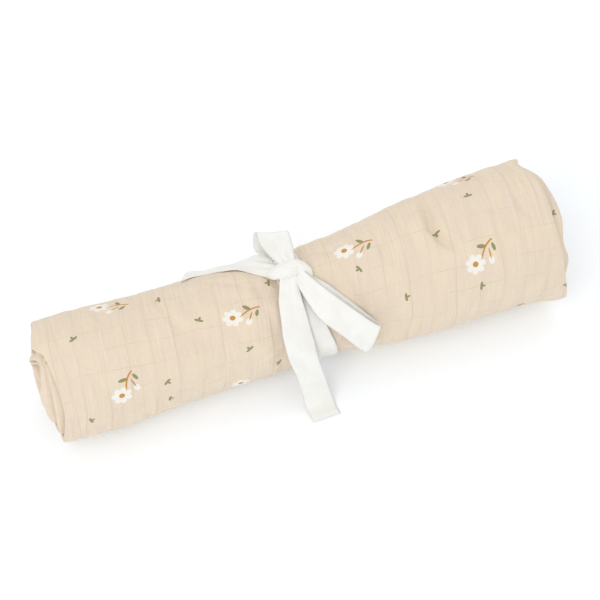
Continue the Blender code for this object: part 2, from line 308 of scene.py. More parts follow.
@dataclass(frozen=True)
class Fold:
    """A sharp fold in the outer cloth: its path in millimetres along and degrees round."""

    path: tuple[Pair, ...]
    depth: float
    width: float
    ridge_away: float = 1.9
    ridge_width: float = 1.2
    ridge_share: float = 0.34
    tip: float = 0.02

    def height(self, x: Array, turn: Array, radius: float) -> Array:
        """Height of the fold, in metres outwards.

        At the distance d from the path the valley is -depth exp(-(d / width)^2). A ridge of a
        third of that stands on one side of it, and both fade towards the tips of the path.

        Args:
            x: places along the roll.
            turn: angles round it.
            radius: the roll's mean radius.

        Returns:
            Heights with the shape of x.
        """
        points = np.array([(along * MM, math.radians(angle) * radius) for along, angle in self.path])
        arc = np.mod(turn, math.tau) * radius
        lengths = np.linalg.norm(np.diff(points, axis=0), axis=1)
        passed = np.concatenate(([0.0], np.cumsum(lengths)))
        nearest = np.full(np.broadcast(x, arc).shape, np.inf)
        signed, share = np.zeros_like(nearest), np.zeros_like(nearest)
        for start, step, length, before in zip(points, np.diff(points, axis=0), lengths, passed):
            t, away_x, away_arc = from_line(x, arc, start, step)
            away = np.hypot(away_x, away_arc)
            closer = away < nearest
            side = np.sign(step[0] * away_arc - step[1] * away_x)
            signed = np.where(closer, away * side, signed)
            share = np.where(closer, (before + t * length) / passed[-1], share)
            nearest = np.where(closer, away, nearest)
        fade = np.sqrt(np.sin(math.pi * np.clip(share, self.tip, 1.0 - self.tip)))
        valley = np.exp(-(nearest / self.width) ** 2)
        ridge = np.exp(-((signed / self.width - self.ridge_away) / self.ridge_width) ** 2)
        return self.depth * fade * (self.ridge_share * ridge - valley)


@dataclass(frozen=True)
class Swell:
    """A soft swell, or a hollow if high is below 0: its place in millimetres along and degrees
    round, its reach along and round, and its height, all in millimetres."""

    along: float
    turn: float
    reach_along: float
    reach_round: float
    high: float

    def height(self, x: Array, turn: Array, radius: float) -> Array:
        """Height in metres: high exp(-(dx / reach)^2 - (dv / reach)^2), dv the way round.

        Args:
            x: places along the roll.
            turn: angles round it.
            radius: the roll's mean radius.

        Returns:
            Heights with the shape of x.
        """
        angle = np.mod(turn - math.radians(self.turn) + math.pi, math.tau) - math.pi
        along = (x / MM - self.along) / self.reach_along
        across = angle * radius / MM / self.reach_round
        return self.high * MM * np.exp(-along**2 - across**2)


@dataclass(frozen=True)
class EndTips:
    """How far the strip's lips stand out past the half length, in millimetres, by turns wound."""

    rows: tuple[Pair, ...]

    def out(self, turns: Array) -> Array:
        """Distance in metres: a cubic between two rows, with slopes from the rows on both sides."""
        at, values = np.array(self.rows).T
        return cubic_between(at, values * MM, turns)


FLAT_SINK = 0.0010
SECTIONS = (
    Section(-0.150, 0.0372, 0.0366, -0.0010, -FLAT_SINK, 0.00, 1.0),
    Section(-0.120, 0.0372, 0.0366, -0.0010, -FLAT_SINK, 0.00, 1.0),
    Section(-0.085, 0.0360, 0.0352, -0.0003, -FLAT_SINK, 0.02, 1.0),
    Section(-0.050, 0.0352, 0.0344, 0.0006, -FLAT_SINK, 0.10, 0.8),
    Section(-0.025, 0.0342, 0.0334, -0.0002, 0.0004, 0.18, 0.4),
    Section(-0.003, 0.0314, 0.0302, -0.0004, 0.0028, 0.22, 0.2),
    Section(0.015, 0.0328, 0.0320, 0.0004, 0.0020, 0.18, 0.4),
    Section(0.040, 0.0372, 0.0366, 0.0005, -FLAT_SINK, 0.10, 0.8),
    Section(0.080, 0.0412, 0.0406, 0.0018, -FLAT_SINK, 0.02, 1.0),
    Section(0.120, 0.0432, 0.0426, 0.0022, -FLAT_SINK, 0.00, 1.0),
    Section(0.150, 0.0440, 0.0434, 0.0022, -FLAT_SINK, 0.00, 1.0),
)
CREASES = (
    Crease(-0.078, 100, -0.050, 150, 0.0012, 0.0050),
    Crease(0.062, 112, 0.080, 150, 0.0022, 0.0070),
    Crease(0.028, 120, 0.050, 185, 0.0012, 0.0060),
    Crease(-0.045, 95, -0.022, 120, 0.0014, 0.0060),
    Crease(-0.040, 200, -0.022, 170, 0.0010, 0.0050),
    Crease(0.025, 60, 0.060, 40, 0.0014, 0.0070),
    Crease(-0.060, 40, -0.025, 55, 0.0012, 0.0060),
    Crease(0.110, 60, 0.075, 20, 0.0012, 0.0080),
)
FOLDS = (
    Fold(((88, 62), (85, 74), (83, 86), (82, 96), (84, 107), (88, 118)), 0.0034, 0.0034),
    Fold(((84, 80), (82.6, 88), (82, 96), (84, 107), (89, 117), (94, 122)), 0.0014, 0.0017),
    Fold(((71, 90), (69, 103), (70.5, 114), (75, 126)), 0.0007, 0.0030),
    Fold(((-81, 46), (-80, 68), (-77, 92), (-73, 112)), 0.0010, 0.0022),
    Fold(((-141, 72), (-141, 92), (-139, 114)), 0.0006, 0.0024),
    Fold(((132, 84), (135, 104), (139, 120)), 0.0008, 0.0024),
    Fold(((-48, 60), (-34, 76), (-22, 88)), 0.0008, 0.0030),
    Fold(((-46, 118), (-33, 112), (-20, 112)), 0.0007, 0.0028),
    Fold(((-38, 165), (-26, 156), (-19, 150)), 0.0006, 0.0026),
    Fold(((18, 66), (30, 74), (46, 70)), 0.0009, 0.0032),
    Fold(((17, 98), (30, 102), (44, 96)), 0.0008, 0.0030),
    Fold(((22, 190), (36, 182), (52, 186)), 0.0008, 0.0030),
    Fold(((120, 96), (128, 118), (131, 142)), 0.0006, 0.0032),
    Fold(((-128, 120), (-122, 146), (-124, 170)), 0.0005, 0.0028),
    Fold(((-16, 20), (-34, 352), (-52, 345)), 0.0010, 0.0034),
    Fold(((20, 8), (42, 350), (66, 356)), 0.0010, 0.0036),
)
SWELLS = (
    Swell(19, 32, 8, 13, 2.3),
    Swell(44, 176, 13, 13, -3.1),
    Swell(100, 90, 15, 14, 1.0),
    Swell(70, 92, 8, 15, 0.5),
    Swell(-24, 165, 9, 16, -1.1),
    Swell(-36, 96, 12, 12, 0.8),
    Swell(31, 100, 10, 12, 0.8),
    Swell(-112, 108, 20, 12, 0.5),
    Swell(-94, 160, 16, 12, -0.5),
    Swell(124, 150, 18, 14, 0.6),
    Swell(60, 145, 12, 12, -0.6),
    Swell(-60, 140, 14, 14, 0.5),
    Swell(-134, 42, 24, 16, 1.4),
    Swell(-116, 206, 30, 12, 2.0),
    Swell(84, 208, 48, 12, 1.7),
)
CORNER = Swell(160, 206, 15, 16, 5.4)
LEFT_TIPS = EndTips((
    (0.0, 3.4), (0.3, 3.2), (0.5, 4.0), (0.8, 5.0), (1.0, 6.4), (1.15, 7.2), (1.28, 6.6),
    (1.38, 3.4), (1.48, 4.0), (1.6, 5.6), (1.8, 6.8), (2.0, 6.2), (2.12, 4.6), (2.22, 3.6),
    (2.34, 3.0), (2.42, 3.2), (2.48, 5.8), (2.53, 7.6), (2.6, 6.9), (2.68, 5.7), (2.85, 5.8),
    (3.0, 4.2), (3.1, 1.6), (3.2, 0.6), (3.36, 0.2), (3.46, 1.2), (3.56, 2.2), (3.64, 2.8),
    (3.8, 3.2), (4.0, 2.2), (4.15, 0.9), (4.25, 0.6), (4.285, 2.2), (4.32, 4.2), (4.35, 4.8),
    (4.362, 3.4), (4.376, 0.8), (4.40, -0.4), (4.45, -1.8), (4.5, -2.3), (4.56, -1.5), (4.61, 0.2),
    (4.7, 1.6), (4.8, 1.6), (5.0, 1.2)))
RIGHT_TIPS = EndTips((
    (0.0, 5.0), (0.5, 6.5), (1.0, 5.5), (1.5, 7.0), (2.0, 6.0), (2.5, 6.5), (2.75, 7.5), (3.0, 6.0),
    (3.12, 2.4), (3.2, 0.8), (3.25, 1.4), (3.294, 4.2), (3.31, 5.6), (3.35, 6.8), (3.405, 8.2),
    (3.456, 8.2), (3.48, 7.0), (3.503, 5.9), (3.572, 7.6), (3.6, 6.2), (3.65, 4.8), (3.75, 6.0),
    (4.0, 3.0), (4.15, 3.0), (4.205, 2.4), (4.228, 1.4), (4.250, -0.8), (4.270, -2.4),
    (4.284, -2.4), (4.314, -0.2), (4.342, 1.0), (4.392, 1.2), (4.442, 0.6), (4.483, 0.8),
    (4.533, 1.8), (4.578, 2.6), (4.633, 4.6), (4.675, 6.4), (4.717, 6.6), (4.772, 4.6), (5.0, 2.0)))
# The height of each random field of wrinkles: broad lumps, bands round the roll, fine crinkle.
RELIEF = (
    (0.00030, RandomField(3, (0.64, 0.64), (0.085, 0.060))),
    (0.00011, RandomField(5, (0.40, 0.80), (0.014, 0.075), (1024, 512))),
    (0.00006, RandomField(8, (0.36, 0.36), (0.0050, 0.0080), (1024, 1024))),
)


@dataclass(frozen=True)
class RollForm:
    """The outer form of the roll and the spiral inside it, worked out as in the solid."""

    half_length: float = 0.150
    outer_turn: float = 0.0030
    edge_angle: float = math.radians(322)
    offset: Spot = (-0.0017, 0.0077, 0.0)
    lean_back: float = 0.8
    lean_up: float = 0.6
    turn_radii: tuple[float, ...] = (0.07, 0.33, 0.59, 0.84, 0.92, 1.00)
    crease_fade: float = 0.12
    pleats: int = 7
    pleat_turn: float = 0.7
    pleat_depth: float = 0.0007
    pleat_reach: float = 0.020
    waist_x: float = -0.005
    mean_radius: float = 0.040

    @property
    def round_length(self) -> float:
        """The mean way round the roll."""
        return math.tau * self.mean_radius

    @property
    def turns(self) -> int:
        """Whole turns of the strip from the core to its loose edge."""
        return len(self.turn_radii) - 1

    @property
    def last(self) -> int:
        """Where the last turn starts, in turns out from the core."""
        return self.turns - 1

    def section(self, x: Array) -> dict[str, Array]:
        """The section table at x.

        Args:
            x: places along the roll; past its ends the end rows hold.

        Returns:
            The table's columns by name, each with the shape of x.
        """
        at = np.array([row.x for row in SECTIONS])
        return {name: cubic_between(at, np.array([getattr(row, name) for row in SECTIONS]), x)
                for name in ("across", "high", "side", "gap", "lean", "step")}

    def press(self, x: Array, turn: Array, radius: Array) -> Array:
        """How far the creases and the waist's gathers press the surface in.

        A crease is depth exp(-(distance / width)^2) from its line, faded towards both tips.

        Args:
            x: places along the roll.
            turn: angles round it.
            radius: the mean radius there.

        Returns:
            Depths in metres.
        """
        pleat = self.pleat_depth * np.cos(self.pleats * turn + self.pleat_turn)
        total = pleat * np.exp(-((x - self.waist_x) / self.pleat_reach) ** 2)
        arc = np.mod(turn, math.tau) * radius
        for crease in CREASES:
            start = (crease.x0, math.radians(crease.turn0) * radius)
            step = (crease.x1 - crease.x0, math.radians(crease.turn1 - crease.turn0) * radius)
            share, away_x, away_arc = from_line(x, arc, start, step)
            fade = np.sin(math.pi * (self.crease_fade + (1 - 2 * self.crease_fade) * share))
            total = total + crease.depth * fade * np.exp(-(np.hypot(away_x, away_arc) / crease.width) ** 2)
        return total

    def outer_share(self, x: Array, turns: Array) -> Array:
        """Radius of the strip's outer face, as a share of the outer radius.

        Over the last turn it grows evenly by the thickness of the loose edge; further in it
        follows the table of turns, scaled to meet the last turn.

        Args:
            x: places along the roll.
            turns: turns out from the core.

        Returns:
            Shares, 1 at the loose edge.
        """
        row = self.section(x)
        step = row["step"] * self.outer_turn / (0.5 * (row["across"] + row["high"]))
        table = np.interp(turns, np.arange(self.turns + 1), self.turn_radii)
        inside = table / self.turn_radii[-2] * (1.0 - step)
        return np.where(turns >= self.last, 1.0 - (self.turns - turns) * step, inside)

    def turns_at(self, turn: Array) -> Array:
        """Turns out from the core at an angle, on the surface that shows."""
        return self.last + np.mod(turn - self.edge_angle, math.tau) / math.tau

    def place(self, x: Array, turn: Array, share: Array | None = None,
              lift: Array | float = 0.0, out: Array | float = 0.0,
              shift: tuple[Array | float, Array | float] = (0.0, 0.0)) -> Array:
        """Points of the roll in the frame.

        Across the roll a point is at (across cos, high sin) of its angle, times its share; its
        section is pushed along -X as it goes up and back, and nothing lies under the floor.

        Args:
            x: places along the roll.
            turn: angles from the back over the top.
            share: share of the outer radius, or None for the surface that shows.
            lift: distance outwards from there.
            out: distance past the place x along the roll.
            shift: move back and up, as shares of the radius.

        Returns:
            Points, with a last axis of three.
        """
        x, turn = np.broadcast_arrays(np.asarray(x, float), np.asarray(turn, float))
        row = self.section(x)
        radius = 0.5 * (row["across"] + row["high"])
        if share is None:
            share = self.outer_share(x, self.turns_at(turn))
        size = share * (1.0 - self.press(x, turn, radius) / radius) + lift / radius
        up = row["high"] * (np.sin(turn) * size + shift[1])
        back = row["across"] * (np.cos(turn) * size + shift[0])
        leaning = row["lean"] * (self.lean_back * back + self.lean_up * up)
        high = np.maximum(row["gap"] + row["high"] + up, 0.0)
        return np.stack((x - leaning + out, row["side"] + back, high), axis=-1) + self.offset


# ---- the outer cloth's relief -----------------------------------------------------------------
@dataclass(frozen=True)
class ClothRelief:
    """The wrinkles of the outer cloth.

    pillow is the height of the cloth between its stitches. The gathers beside the tie go round
    the roll as that number of waves, twisted by the angle for each metre and moved by the drift.
    The band presses the cloth over a reach on both sides of band_x.
    """

    form: RollForm
    pillow: float = 0.00010
    gathers: int = 11
    gather_depth: float = 0.00026
    gather_twist: float = 80.0
    gather_drift: float = 2.5
    gather_away: float = 0.020
    gather_reach: float = 0.012
    gather_wander: Wander = Wander(12, 0.16)
    band_x: float = 0.001
    band_reach: float = 0.0115
    band_press: float = 0.85

    def wrinkles(self, x: Array, turns: Array, turn: Array) -> Array:
        """Height of the wrinkles on the outer face, in metres outwards.

        A sum of smooth random fields: broad lumps, bands that run round the roll, fine crinkle,
        a pillow between the lines of stitches, gathers that run out from the tie, and the folds.
        The band of the tie presses all of them nearly flat.

        Args:
            x: places along the roll.
            turns: turns out from the core.
            turn: the same as an angle.

        Returns:
            Heights with the shape of x.
        """
        v = turns * self.form.round_length
        pitch = math.pi / THREAD_PITCH
        height = self.pillow * np.sqrt(np.abs(np.sin(x * pitch) * np.sin(v * pitch)))
        for high, field in RELIEF:
            height = height + high * field.at(x, v)
        away = np.abs(x - self.form.waist_x) - self.gather_away
        drift = self.gather_drift * self.gather_wander.at(turn)
        gathers = np.cos(self.gathers * turn + self.gather_twist * x + drift)
        height = height + self.gather_depth * gathers * np.exp(-((away / self.gather_reach) ** 2))
        for mark in (*FOLDS, *SWELLS):
            height = height + mark.height(x, turn, self.form.mean_radius)
        pressed = np.exp(-(((x - self.band_x) / self.band_reach) ** 4))
        return height * (1.0 - self.band_press * pressed)


# ---- the folded strip of muslin ---------------------------------------------------------------
@dataclass(frozen=True)
class StripLoop:
    """The closed section of the folded strip, point by point round it.

    side is -1 on the lips at the -X end, 1 at the +X end and 0 on the faces between. depth is
    how far in from the lips' tips a point lies, in metres, and curl the same as a share of a
    lip's half thickness. through is 0 on the inner face and 1 on the outer. lip is 0 for the
    inner lip and 1 for the outer. along is the share of the way between the two ends.
    """

    side: Array
    depth: Array
    curl: Array
    through: Array
    lip: Array
    along: Array


@dataclass(frozen=True)
class Squash:
    """How the inner turns lie at one end of the roll.

    An oval and a three-sided wave go round them, each with its height and its angle, and the
    core is moved back and up. Heights and moves are shares of the radius.
    """

    oval: float
    oval_at: float
    three: float
    three_at: float
    back: float
    up: float

    def bend(self, turn: Array) -> Array:
        """Change of the radius at an angle: oval cos 2(a - oval_at) + three cos(3a + three_at)."""
        oval = self.oval * np.cos(2 * (turn - self.oval_at))
        return oval + self.three * np.cos(3 * turn + self.three_at)


@dataclass
class MuslinRoll:
    """The blanket: a square of double gauze folded to a strip and rolled up from its doubled end.

    Thicknesses are shares of the roll's radius, reaches and depths are in metres. The lips'
    curls are shares of a lip's half thickness. The taper draws the strip together towards its
    lips, most at the open angle. The hidden faces sink away from the outer turn's creases. The
    dome leans the ends in, by its share at the left and at the right end.
    """

    form: RollForm
    relief: ClothRelief
    name: str = "muslin_roll"
    node: str = "blanket_roll"
    flat: Pair = (0.300, 0.700)
    turn_columns: tuple[int, ...] = (34, 56, 80, 104)
    outer_columns: int = 236
    coarse_spans: int = 12
    fine_per_span: int = 22
    face_depths: tuple[float, ...] = (0.0120, 0.0078, 0.0054, 0.0040)
    lip_points: int = 7
    lip_span: float = 0.97
    lip_share: float = 0.25
    lip_curl: float = 1.5
    groove_curl: float = 2.1
    groove_drift: float = 0.15
    groove_wander: Wander = Wander(31, 0.7)
    lip_jitter: float = 0.0004
    least_jitter: float = 0.25
    lip_wanders: tuple[Wander, ...] = tuple(Wander(seed, 0.55) for seed in range(20, 24))
    taper: float = 0.045
    taper_depth: float = 0.012
    taper_thick: float = 0.16
    least_taper: float = 0.15
    taper_fade: Pair = (0.15, -0.1)
    open_angle: float = 2.45
    open_reach: float = 0.9
    open_least: float = 0.35
    left: Squash = Squash(0.10, 1.9, 0.05, 0.4, 0.07, 0.22)
    right: Squash = Squash(0.11, 0.5, 0.07, 2.0, -0.05, 0.04)
    squash_blend: float = 0.06
    core_share: float = 0.02
    layer_gap: float = 0.018
    hidden_sink: float = 0.09
    sink_depths: Pair = (0.012, 0.034)
    sink_turn: float = 0.2
    dome: Pair = (0.05, 0.034)
    dome_reach: float = 0.006
    dome_power: float = 1.4
    slant: float = 0.09
    crest_turn: float = 0.36
    relief_through: Pair = (0.3, 1.0)
    relief_start: float = 0.03
    edge_calm: float = 0.8
    edge_columns: int = 4
    edge_round: float = 0.0014
    edge_open: float = 0.35

    def loop(self, spans: int) -> StripLoop:
        """The strip's section, with a number of steps along its outer face.

        Each lip is a half ellipse: its depth is curl (1 - sqrt(1 - b^2)) for b from -1 to 1
        through the lip. A lip takes half of the thickness, and the two meet in a groove.

        Args:
            spans: steps along the outer face between the two ends.

        Returns:
            The section's points, from the inner face at the -X end round to the same place.
        """
        faces = len(self.face_depths)
        b = np.linspace(-self.lip_span, self.lip_span, self.lip_points)
        inner_lip = self.lip_share * (1.0 + b)
        curl = self.lip_curl * (1.0 - np.sqrt(1.0 - b**2))
        flat = np.zeros(faces)
        depths = np.array(self.face_depths)
        end = {
            "depth": np.concatenate((depths, 0 * b, [0.0], 0 * b, depths[::-1])),
            "curl": np.concatenate((flat, curl, [self.groove_curl], curl, flat)),
            "through": np.concatenate((flat, inner_lip, [0.5], inner_lip + 0.5, flat + 1)),
            "lip": np.concatenate((flat, 0 * b, [0.5], 0 * b + 1, flat + 1)),
        }
        size = len(end["depth"])
        outer = np.arange(1, spans) / spans
        inner = np.arange(self.coarse_spans - 1, 0, -1) / self.coarse_spans
        zero_out, zero_in = 0 * outer, 0 * inner
        parts = {name: np.concatenate((v, zero_out + (name in ("through", "lip")), v[::-1], zero_in))
                 for name, v in end.items()}
        side = np.concatenate((np.full(size, -1.0), zero_out, np.full(size, 1.0), zero_in))
        along = np.concatenate((np.zeros(size), outer, np.ones(size), inner))
        return StripLoop(side=side, along=along, **parts)

    @property
    def end_size(self) -> int:
        """Points of one end's part of the section."""
        return 2 * len(self.face_depths) + 2 * self.lip_points + 1

    def warp(self, share: Array, turn: Array, x: Array) -> tuple[Array, tuple[Array, Array]]:
        """Put the inner turns out of round and off the middle, by an amount that falls as 1 - s^2.

        Args:
            share: shares of the outer radius.
            turn: angles round the roll.
            x: places along it.

        Returns:
            The changed shares, and how far each point moves back and up as shares of the radius.
        """
        at_right = smooth_ramp(-self.squash_blend, self.squash_blend, x)
        inside = 1.0 - share**2
        bend, back, up = (inside * (left * (1.0 - at_right) + right * at_right) for left, right in (
            (self.left.bend(turn), self.right.bend(turn)), (self.left.back, self.right.back),
            (self.left.up, self.right.up)))
        return share * (1.0 + bend), (back, up)

    def strip(self, loop: StripLoop, turns: Array, past: Array, squeeze: Array) -> tuple[Array, Array]:
        """Points of the strip, one row for each column round the roll.

        A point's share of the radius is between the strip's inner face, which lies on the turn
        inside it, and its outer face. The groove between the lips wanders through the thickness
        by drift 4 s (1 - s), and what stands out past the half length leans in as
        dome (d / reach)^power.

        Args:
            loop: the strip's section.
            turns: turns out from the core, by column.
            past: angle added past the loose edge, by column.
            squeeze: share of the thickness that is left, by column.

        Returns:
            The points, and the cloth's three numbers for each.
        """
        form = self.form
        t = turns[:, None]
        turn = form.edge_angle + math.tau * t + past[:, None]
        through = 0.5 + (loop.through - 0.5) * squeeze[:, None]
        drift = self.groove_drift * self.groove_wander.at(turns)[:, None]
        through = through + drift * 4.0 * through * (1.0 - through)
        x, depth = self.places(loop, turns)
        inner, outer = self.tapered(loop, t, turn, x, depth)
        share, shift = self.warp(inner + (outer - inner) * through, turn, x)
        past_end = np.clip(np.abs(x) - form.half_length, 0.0, None) * np.sign(x)
        dome = np.where(x < 0, *self.dome) * (np.abs(past_end) / self.dome_reach) ** self.dome_power
        share = share * (1.0 - dome)
        points, plain = (form.place(x - past_end, turn, share, lift, past_end, shift)
                         for lift in (self.lift(x, t, turn, through), 0.0))
        return points, self.cloth(plain[..., 0] - form.offset[0], t)

    def places(self, loop: StripLoop, turns: Array) -> tuple[Array, Array]:
        """Where the section's points lie along the roll.

        At the ends it is the tips' table less the depth, and a smooth random line moves each lip
        in and out. Between them the points are spread evenly.

        Args:
            loop: the strip's section.
            turns: turns out from the core, by column.

        Returns:
            The places, and the depths in from the lips' tips.
        """
        form = self.form
        t = turns[:, None]
        at_end = np.where(loop.side < 0, -form.half_length, form.half_length)[None, :]
        inner, outer = self.faces(at_end, t)
        row = form.section(at_end)
        lip_half = self.lip_share * (outer - inner) * 0.5 * (row["across"] + row["high"])
        depth = loop.depth + loop.curl * lip_half
        swing = np.stack([wander.at(turns) for wander in self.lip_wanders], axis=-1)
        which = (loop.lip > self.lip_share).astype(int) + 2 * (loop.side > 0).astype(int)
        jitter = self.lip_jitter * swing[:, which] * np.clip(form.last - t, self.least_jitter, 1.0)
        tip = np.where(loop.side < 0, LEFT_TIPS.out(t), RIGHT_TIPS.out(t)) + jitter
        x_end = loop.side * (form.half_length + tip - depth)
        last_left = self.end_size - 1
        first_right = len(loop.side) - self.end_size - self.coarse_spans + 1
        start, stop = x_end[:, [last_left]], x_end[:, [first_right]]
        return np.where(loop.side == 0, start + (stop - start) * loop.along, x_end), depth

    def tapered(self, loop: StripLoop, turns: Array, turn: Array, x: Array,
                depth: Array) -> tuple[Array, Array]:
        """Shares of the radius of both faces, drawn together towards the lips' tips.

        The taper falls as (1 - depth / reach)^2. It is strongest at the open angle, fades as
        exp(-(angle / reach)^2) from there, and is less where the strip is thin. The last turn's
        outer face keeps its place.

        Args:
            loop: the strip's section.
            turns: turns out from the core.
            turn: the same as an angle.
            x: places along the roll.
            depth: distances in from the lips' tips.

        Returns:
            The inner and the outer share.
        """
        inner, outer = self.faces(x, turns)
        near_tip = np.where(loop.side == 0, 0.0, np.clip(1.0 - depth / self.taper_depth, 0.0, 1.0)) ** 2
        away = (np.mod(turn, math.tau) - self.open_angle) / self.open_reach
        opened = self.open_least + (1.0 - self.open_least) * np.exp(-(away**2))
        thick = np.clip((outer - inner) / self.taper_thick, self.least_taper, 1.0)
        taper = self.taper * near_tip * opened * thick
        fade = smooth_ramp(*(self.form.last + past for past in self.taper_fade), turns)
        return inner + taper, outer - taper * fade

    def lift(self, x: Array, turns: Array, turn: Array, through: Array) -> Array:
        """Height of the relief: wrinkles on the outer face of the last turn and the loose corner.

        Args:
            x: places along the roll.
            turns: turns out from the core.
            turn: the same as an angle.
            through: share of the way from the inner to the outer face.

        Returns:
            Heights in metres, 0 inside the roll and low at the loose edge.
        """
        last, end = self.form.last, self.form.turns
        outside = smooth_ramp(last, last + self.relief_start, turns)
        calm = 1.0 - self.edge_calm * smooth_ramp(end - self.relief_start, end, turns)
        shows = smooth_ramp(*self.relief_through, through) * outside * calm
        corner = CORNER.height(x, turn, self.form.mean_radius)
        return shows * self.relief.wrinkles(x, turns, turn) + outside * corner

    def cloth(self, along: Array, turns: Array) -> Array:
        """Where points lie on the flat cloth, which is wound a little askew.

        With r the way round, u = along + slant (r - r at the crest) and v = r - slant along.

        Args:
            along: places along the roll, on the surface without its wrinkles.
            turns: turns out from the core.

        Returns:
            u, v and the plain place along the roll, in metres.
        """
        round_it = turns * self.form.round_length
        crest = (self.form.last + self.crest_turn) * self.form.round_length
        u = along + self.slant * (round_it - crest)
        return np.stack((u, round_it - self.slant * along, along), axis=-1)

    def faces(self, x: Array, turns: Array) -> tuple[Array, Array]:
        """Shares of the radius of the strip's inner and outer face.

        The inner face lies a small gap outside the outer face of the turn before it, and in the
        first turn it closes on the core. Away from the ends the faces that don't show are drawn
        in by a share of the radius, so that the creases of the outer turn clear them.

        Args:
            x: places along the roll.
            turns: turns out from the core.

        Returns:
            The inner and the outer share.
        """
        last = self.form.last
        from_end = self.form.half_length - np.abs(x)
        drawn_in = self.hidden_sink * smooth_ramp(*self.sink_depths, from_end)

        def face(at: Array) -> Array:
            """Share of the outer face at a number of turns."""
            hidden = smooth_ramp(last, last - self.sink_turn, at)
            return self.form.outer_share(x, at) * (1.0 - drawn_in * hidden)

        outer = face(turns)
        before = face(np.clip(turns - 1.0, 0.0, None))
        core = np.clip(turns, 0.0, 1.0)
        from_core = self.core_share + (before - self.core_share) * core
        inner = np.where(turns < 1.0, from_core, before)
        return inner + self.layer_gap * core, outer

    def build(self) -> bpy.types.Object:
        """The whole strip as one closed mesh: coarse inside, fine on the turn that shows.

        Returns:
            The finished piece, which stands for the roll's node.
        """
        inside = np.concatenate([k + np.arange(count) / count
                                 for k, count in enumerate(self.turn_columns)])
        outside = self.form.last + np.arange(self.outer_columns + 1) / self.outer_columns
        curve = np.arange(1, self.edge_columns + 1) / (self.edge_columns + self.edge_open) * math.pi / 2
        turns = np.concatenate((outside, np.full(self.edge_columns, float(self.form.turns))))
        beyond = self.edge_round / self.form.mean_radius * np.sin(curve)
        past = np.concatenate((0 * outside, beyond))
        squeeze = np.concatenate((0 * outside + 1.0, np.cos(curve)))
        coarse, fine = self.loop(self.coarse_spans), self.loop(self.coarse_spans * self.fine_per_span)
        inner_points, inner_cloth = self.strip(coarse, inside, 0 * inside, 0 * inside + 1.0)
        outer_points, outer_cloth = self.strip(fine, turns, past, squeeze)
        points = np.concatenate((inner_points.reshape(-1, 3), outer_points.reshape(-1, 3)))
        cloth = np.concatenate((inner_cloth.reshape(-1, 3), outer_cloth.reshape(-1, 3)))
        ids_in = vertex_ids(inner_points)
        ids_out = vertex_ids(outer_points, ids_in.size)
        faces = grid_faces(ids_in, wrap=True) + grid_faces(ids_out, wrap=True)
        faces += self.bridge(ids_in[-1], ids_out[0])
        faces += self.cap(ids_in[0], 1) + self.cap(ids_out[-1], self.fine_per_span)
        piece = new_piece(self.name, points, faces, cloth, closed=True)
        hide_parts(self.node)
        return piece

    def bridge(self, coarse: Array, fine: Array) -> list[list[int]]:
        """Faces from a coarse ring of the strip to a fine one, whose outer face has more points.

        Args:
            coarse: vertex numbers round the coarse ring.
            fine: vertex numbers round the fine ring.

        Returns:
            One face for each step of the coarse ring.
        """
        steps = np.ones(len(coarse), int)
        steps[self.end_size - 1:self.end_size - 1 + self.coarse_spans] = self.fine_per_span
        ends = np.cumsum(steps)
        starts = ends - steps
        return [[coarse[k], coarse[(k + 1) % len(coarse)],
                 *(fine[m % len(fine)] for m in range(ends[k], starts[k] - 1, -1))]
                for k in range(len(coarse))]

    def cap(self, ring: Array, ratio: int) -> list[list[int]]:
        """Faces that close the strip's section, between its outer and its inner face.

        Args:
            ring: vertex numbers round the section.
            ratio: points of the outer face for each one of the inner face.

        Returns:
            One face for each step of the inner face.
        """
        ring = np.asarray(ring)
        half = self.end_size // 2
        outer_stop = len(ring) - (self.coarse_spans - 1) - self.end_size + half
        outer = ring[half:outer_stop + 1]
        inner = np.concatenate((ring[half::-1], ring[:outer_stop - 1:-1]))
        steps = np.ones(len(inner) - 1, int)
        steps[half:half + self.coarse_spans] = ratio
        ends = np.cumsum(steps)
        faces = []
        for k, (start, stop) in enumerate(zip(ends - steps, ends)):
            face = [inner[k], inner[k + 1], *outer[start:stop + 1][::-1]]
            faces.append(list(dict.fromkeys(int(i) for i in face)))
        return faces


# ---- the ribbon -----------------------------------------------------------------------------
@dataclass(frozen=True)
class OnRoll:
    """An edge point on the roll: millimetres along, degrees round, millimetres outwards."""

    along: float
    turn: float
    lift: float


@dataclass(frozen=True)
class InAir:
    """An edge point beside the roll, in millimetres in the roll's own coordinates."""

    x: float
    y: float
    z: float


Edge = OnRoll | InAir


def pairs(kind: type[OnRoll] | type[InAir], *rows: tuple[float, ...]) -> tuple[tuple[Edge, Edge], ...]:
    """Rows of six numbers as pairs of edge points: three for one edge, three for the other."""
    return tuple((kind(*row[:3]), kind(*row[3:])) for row in rows)


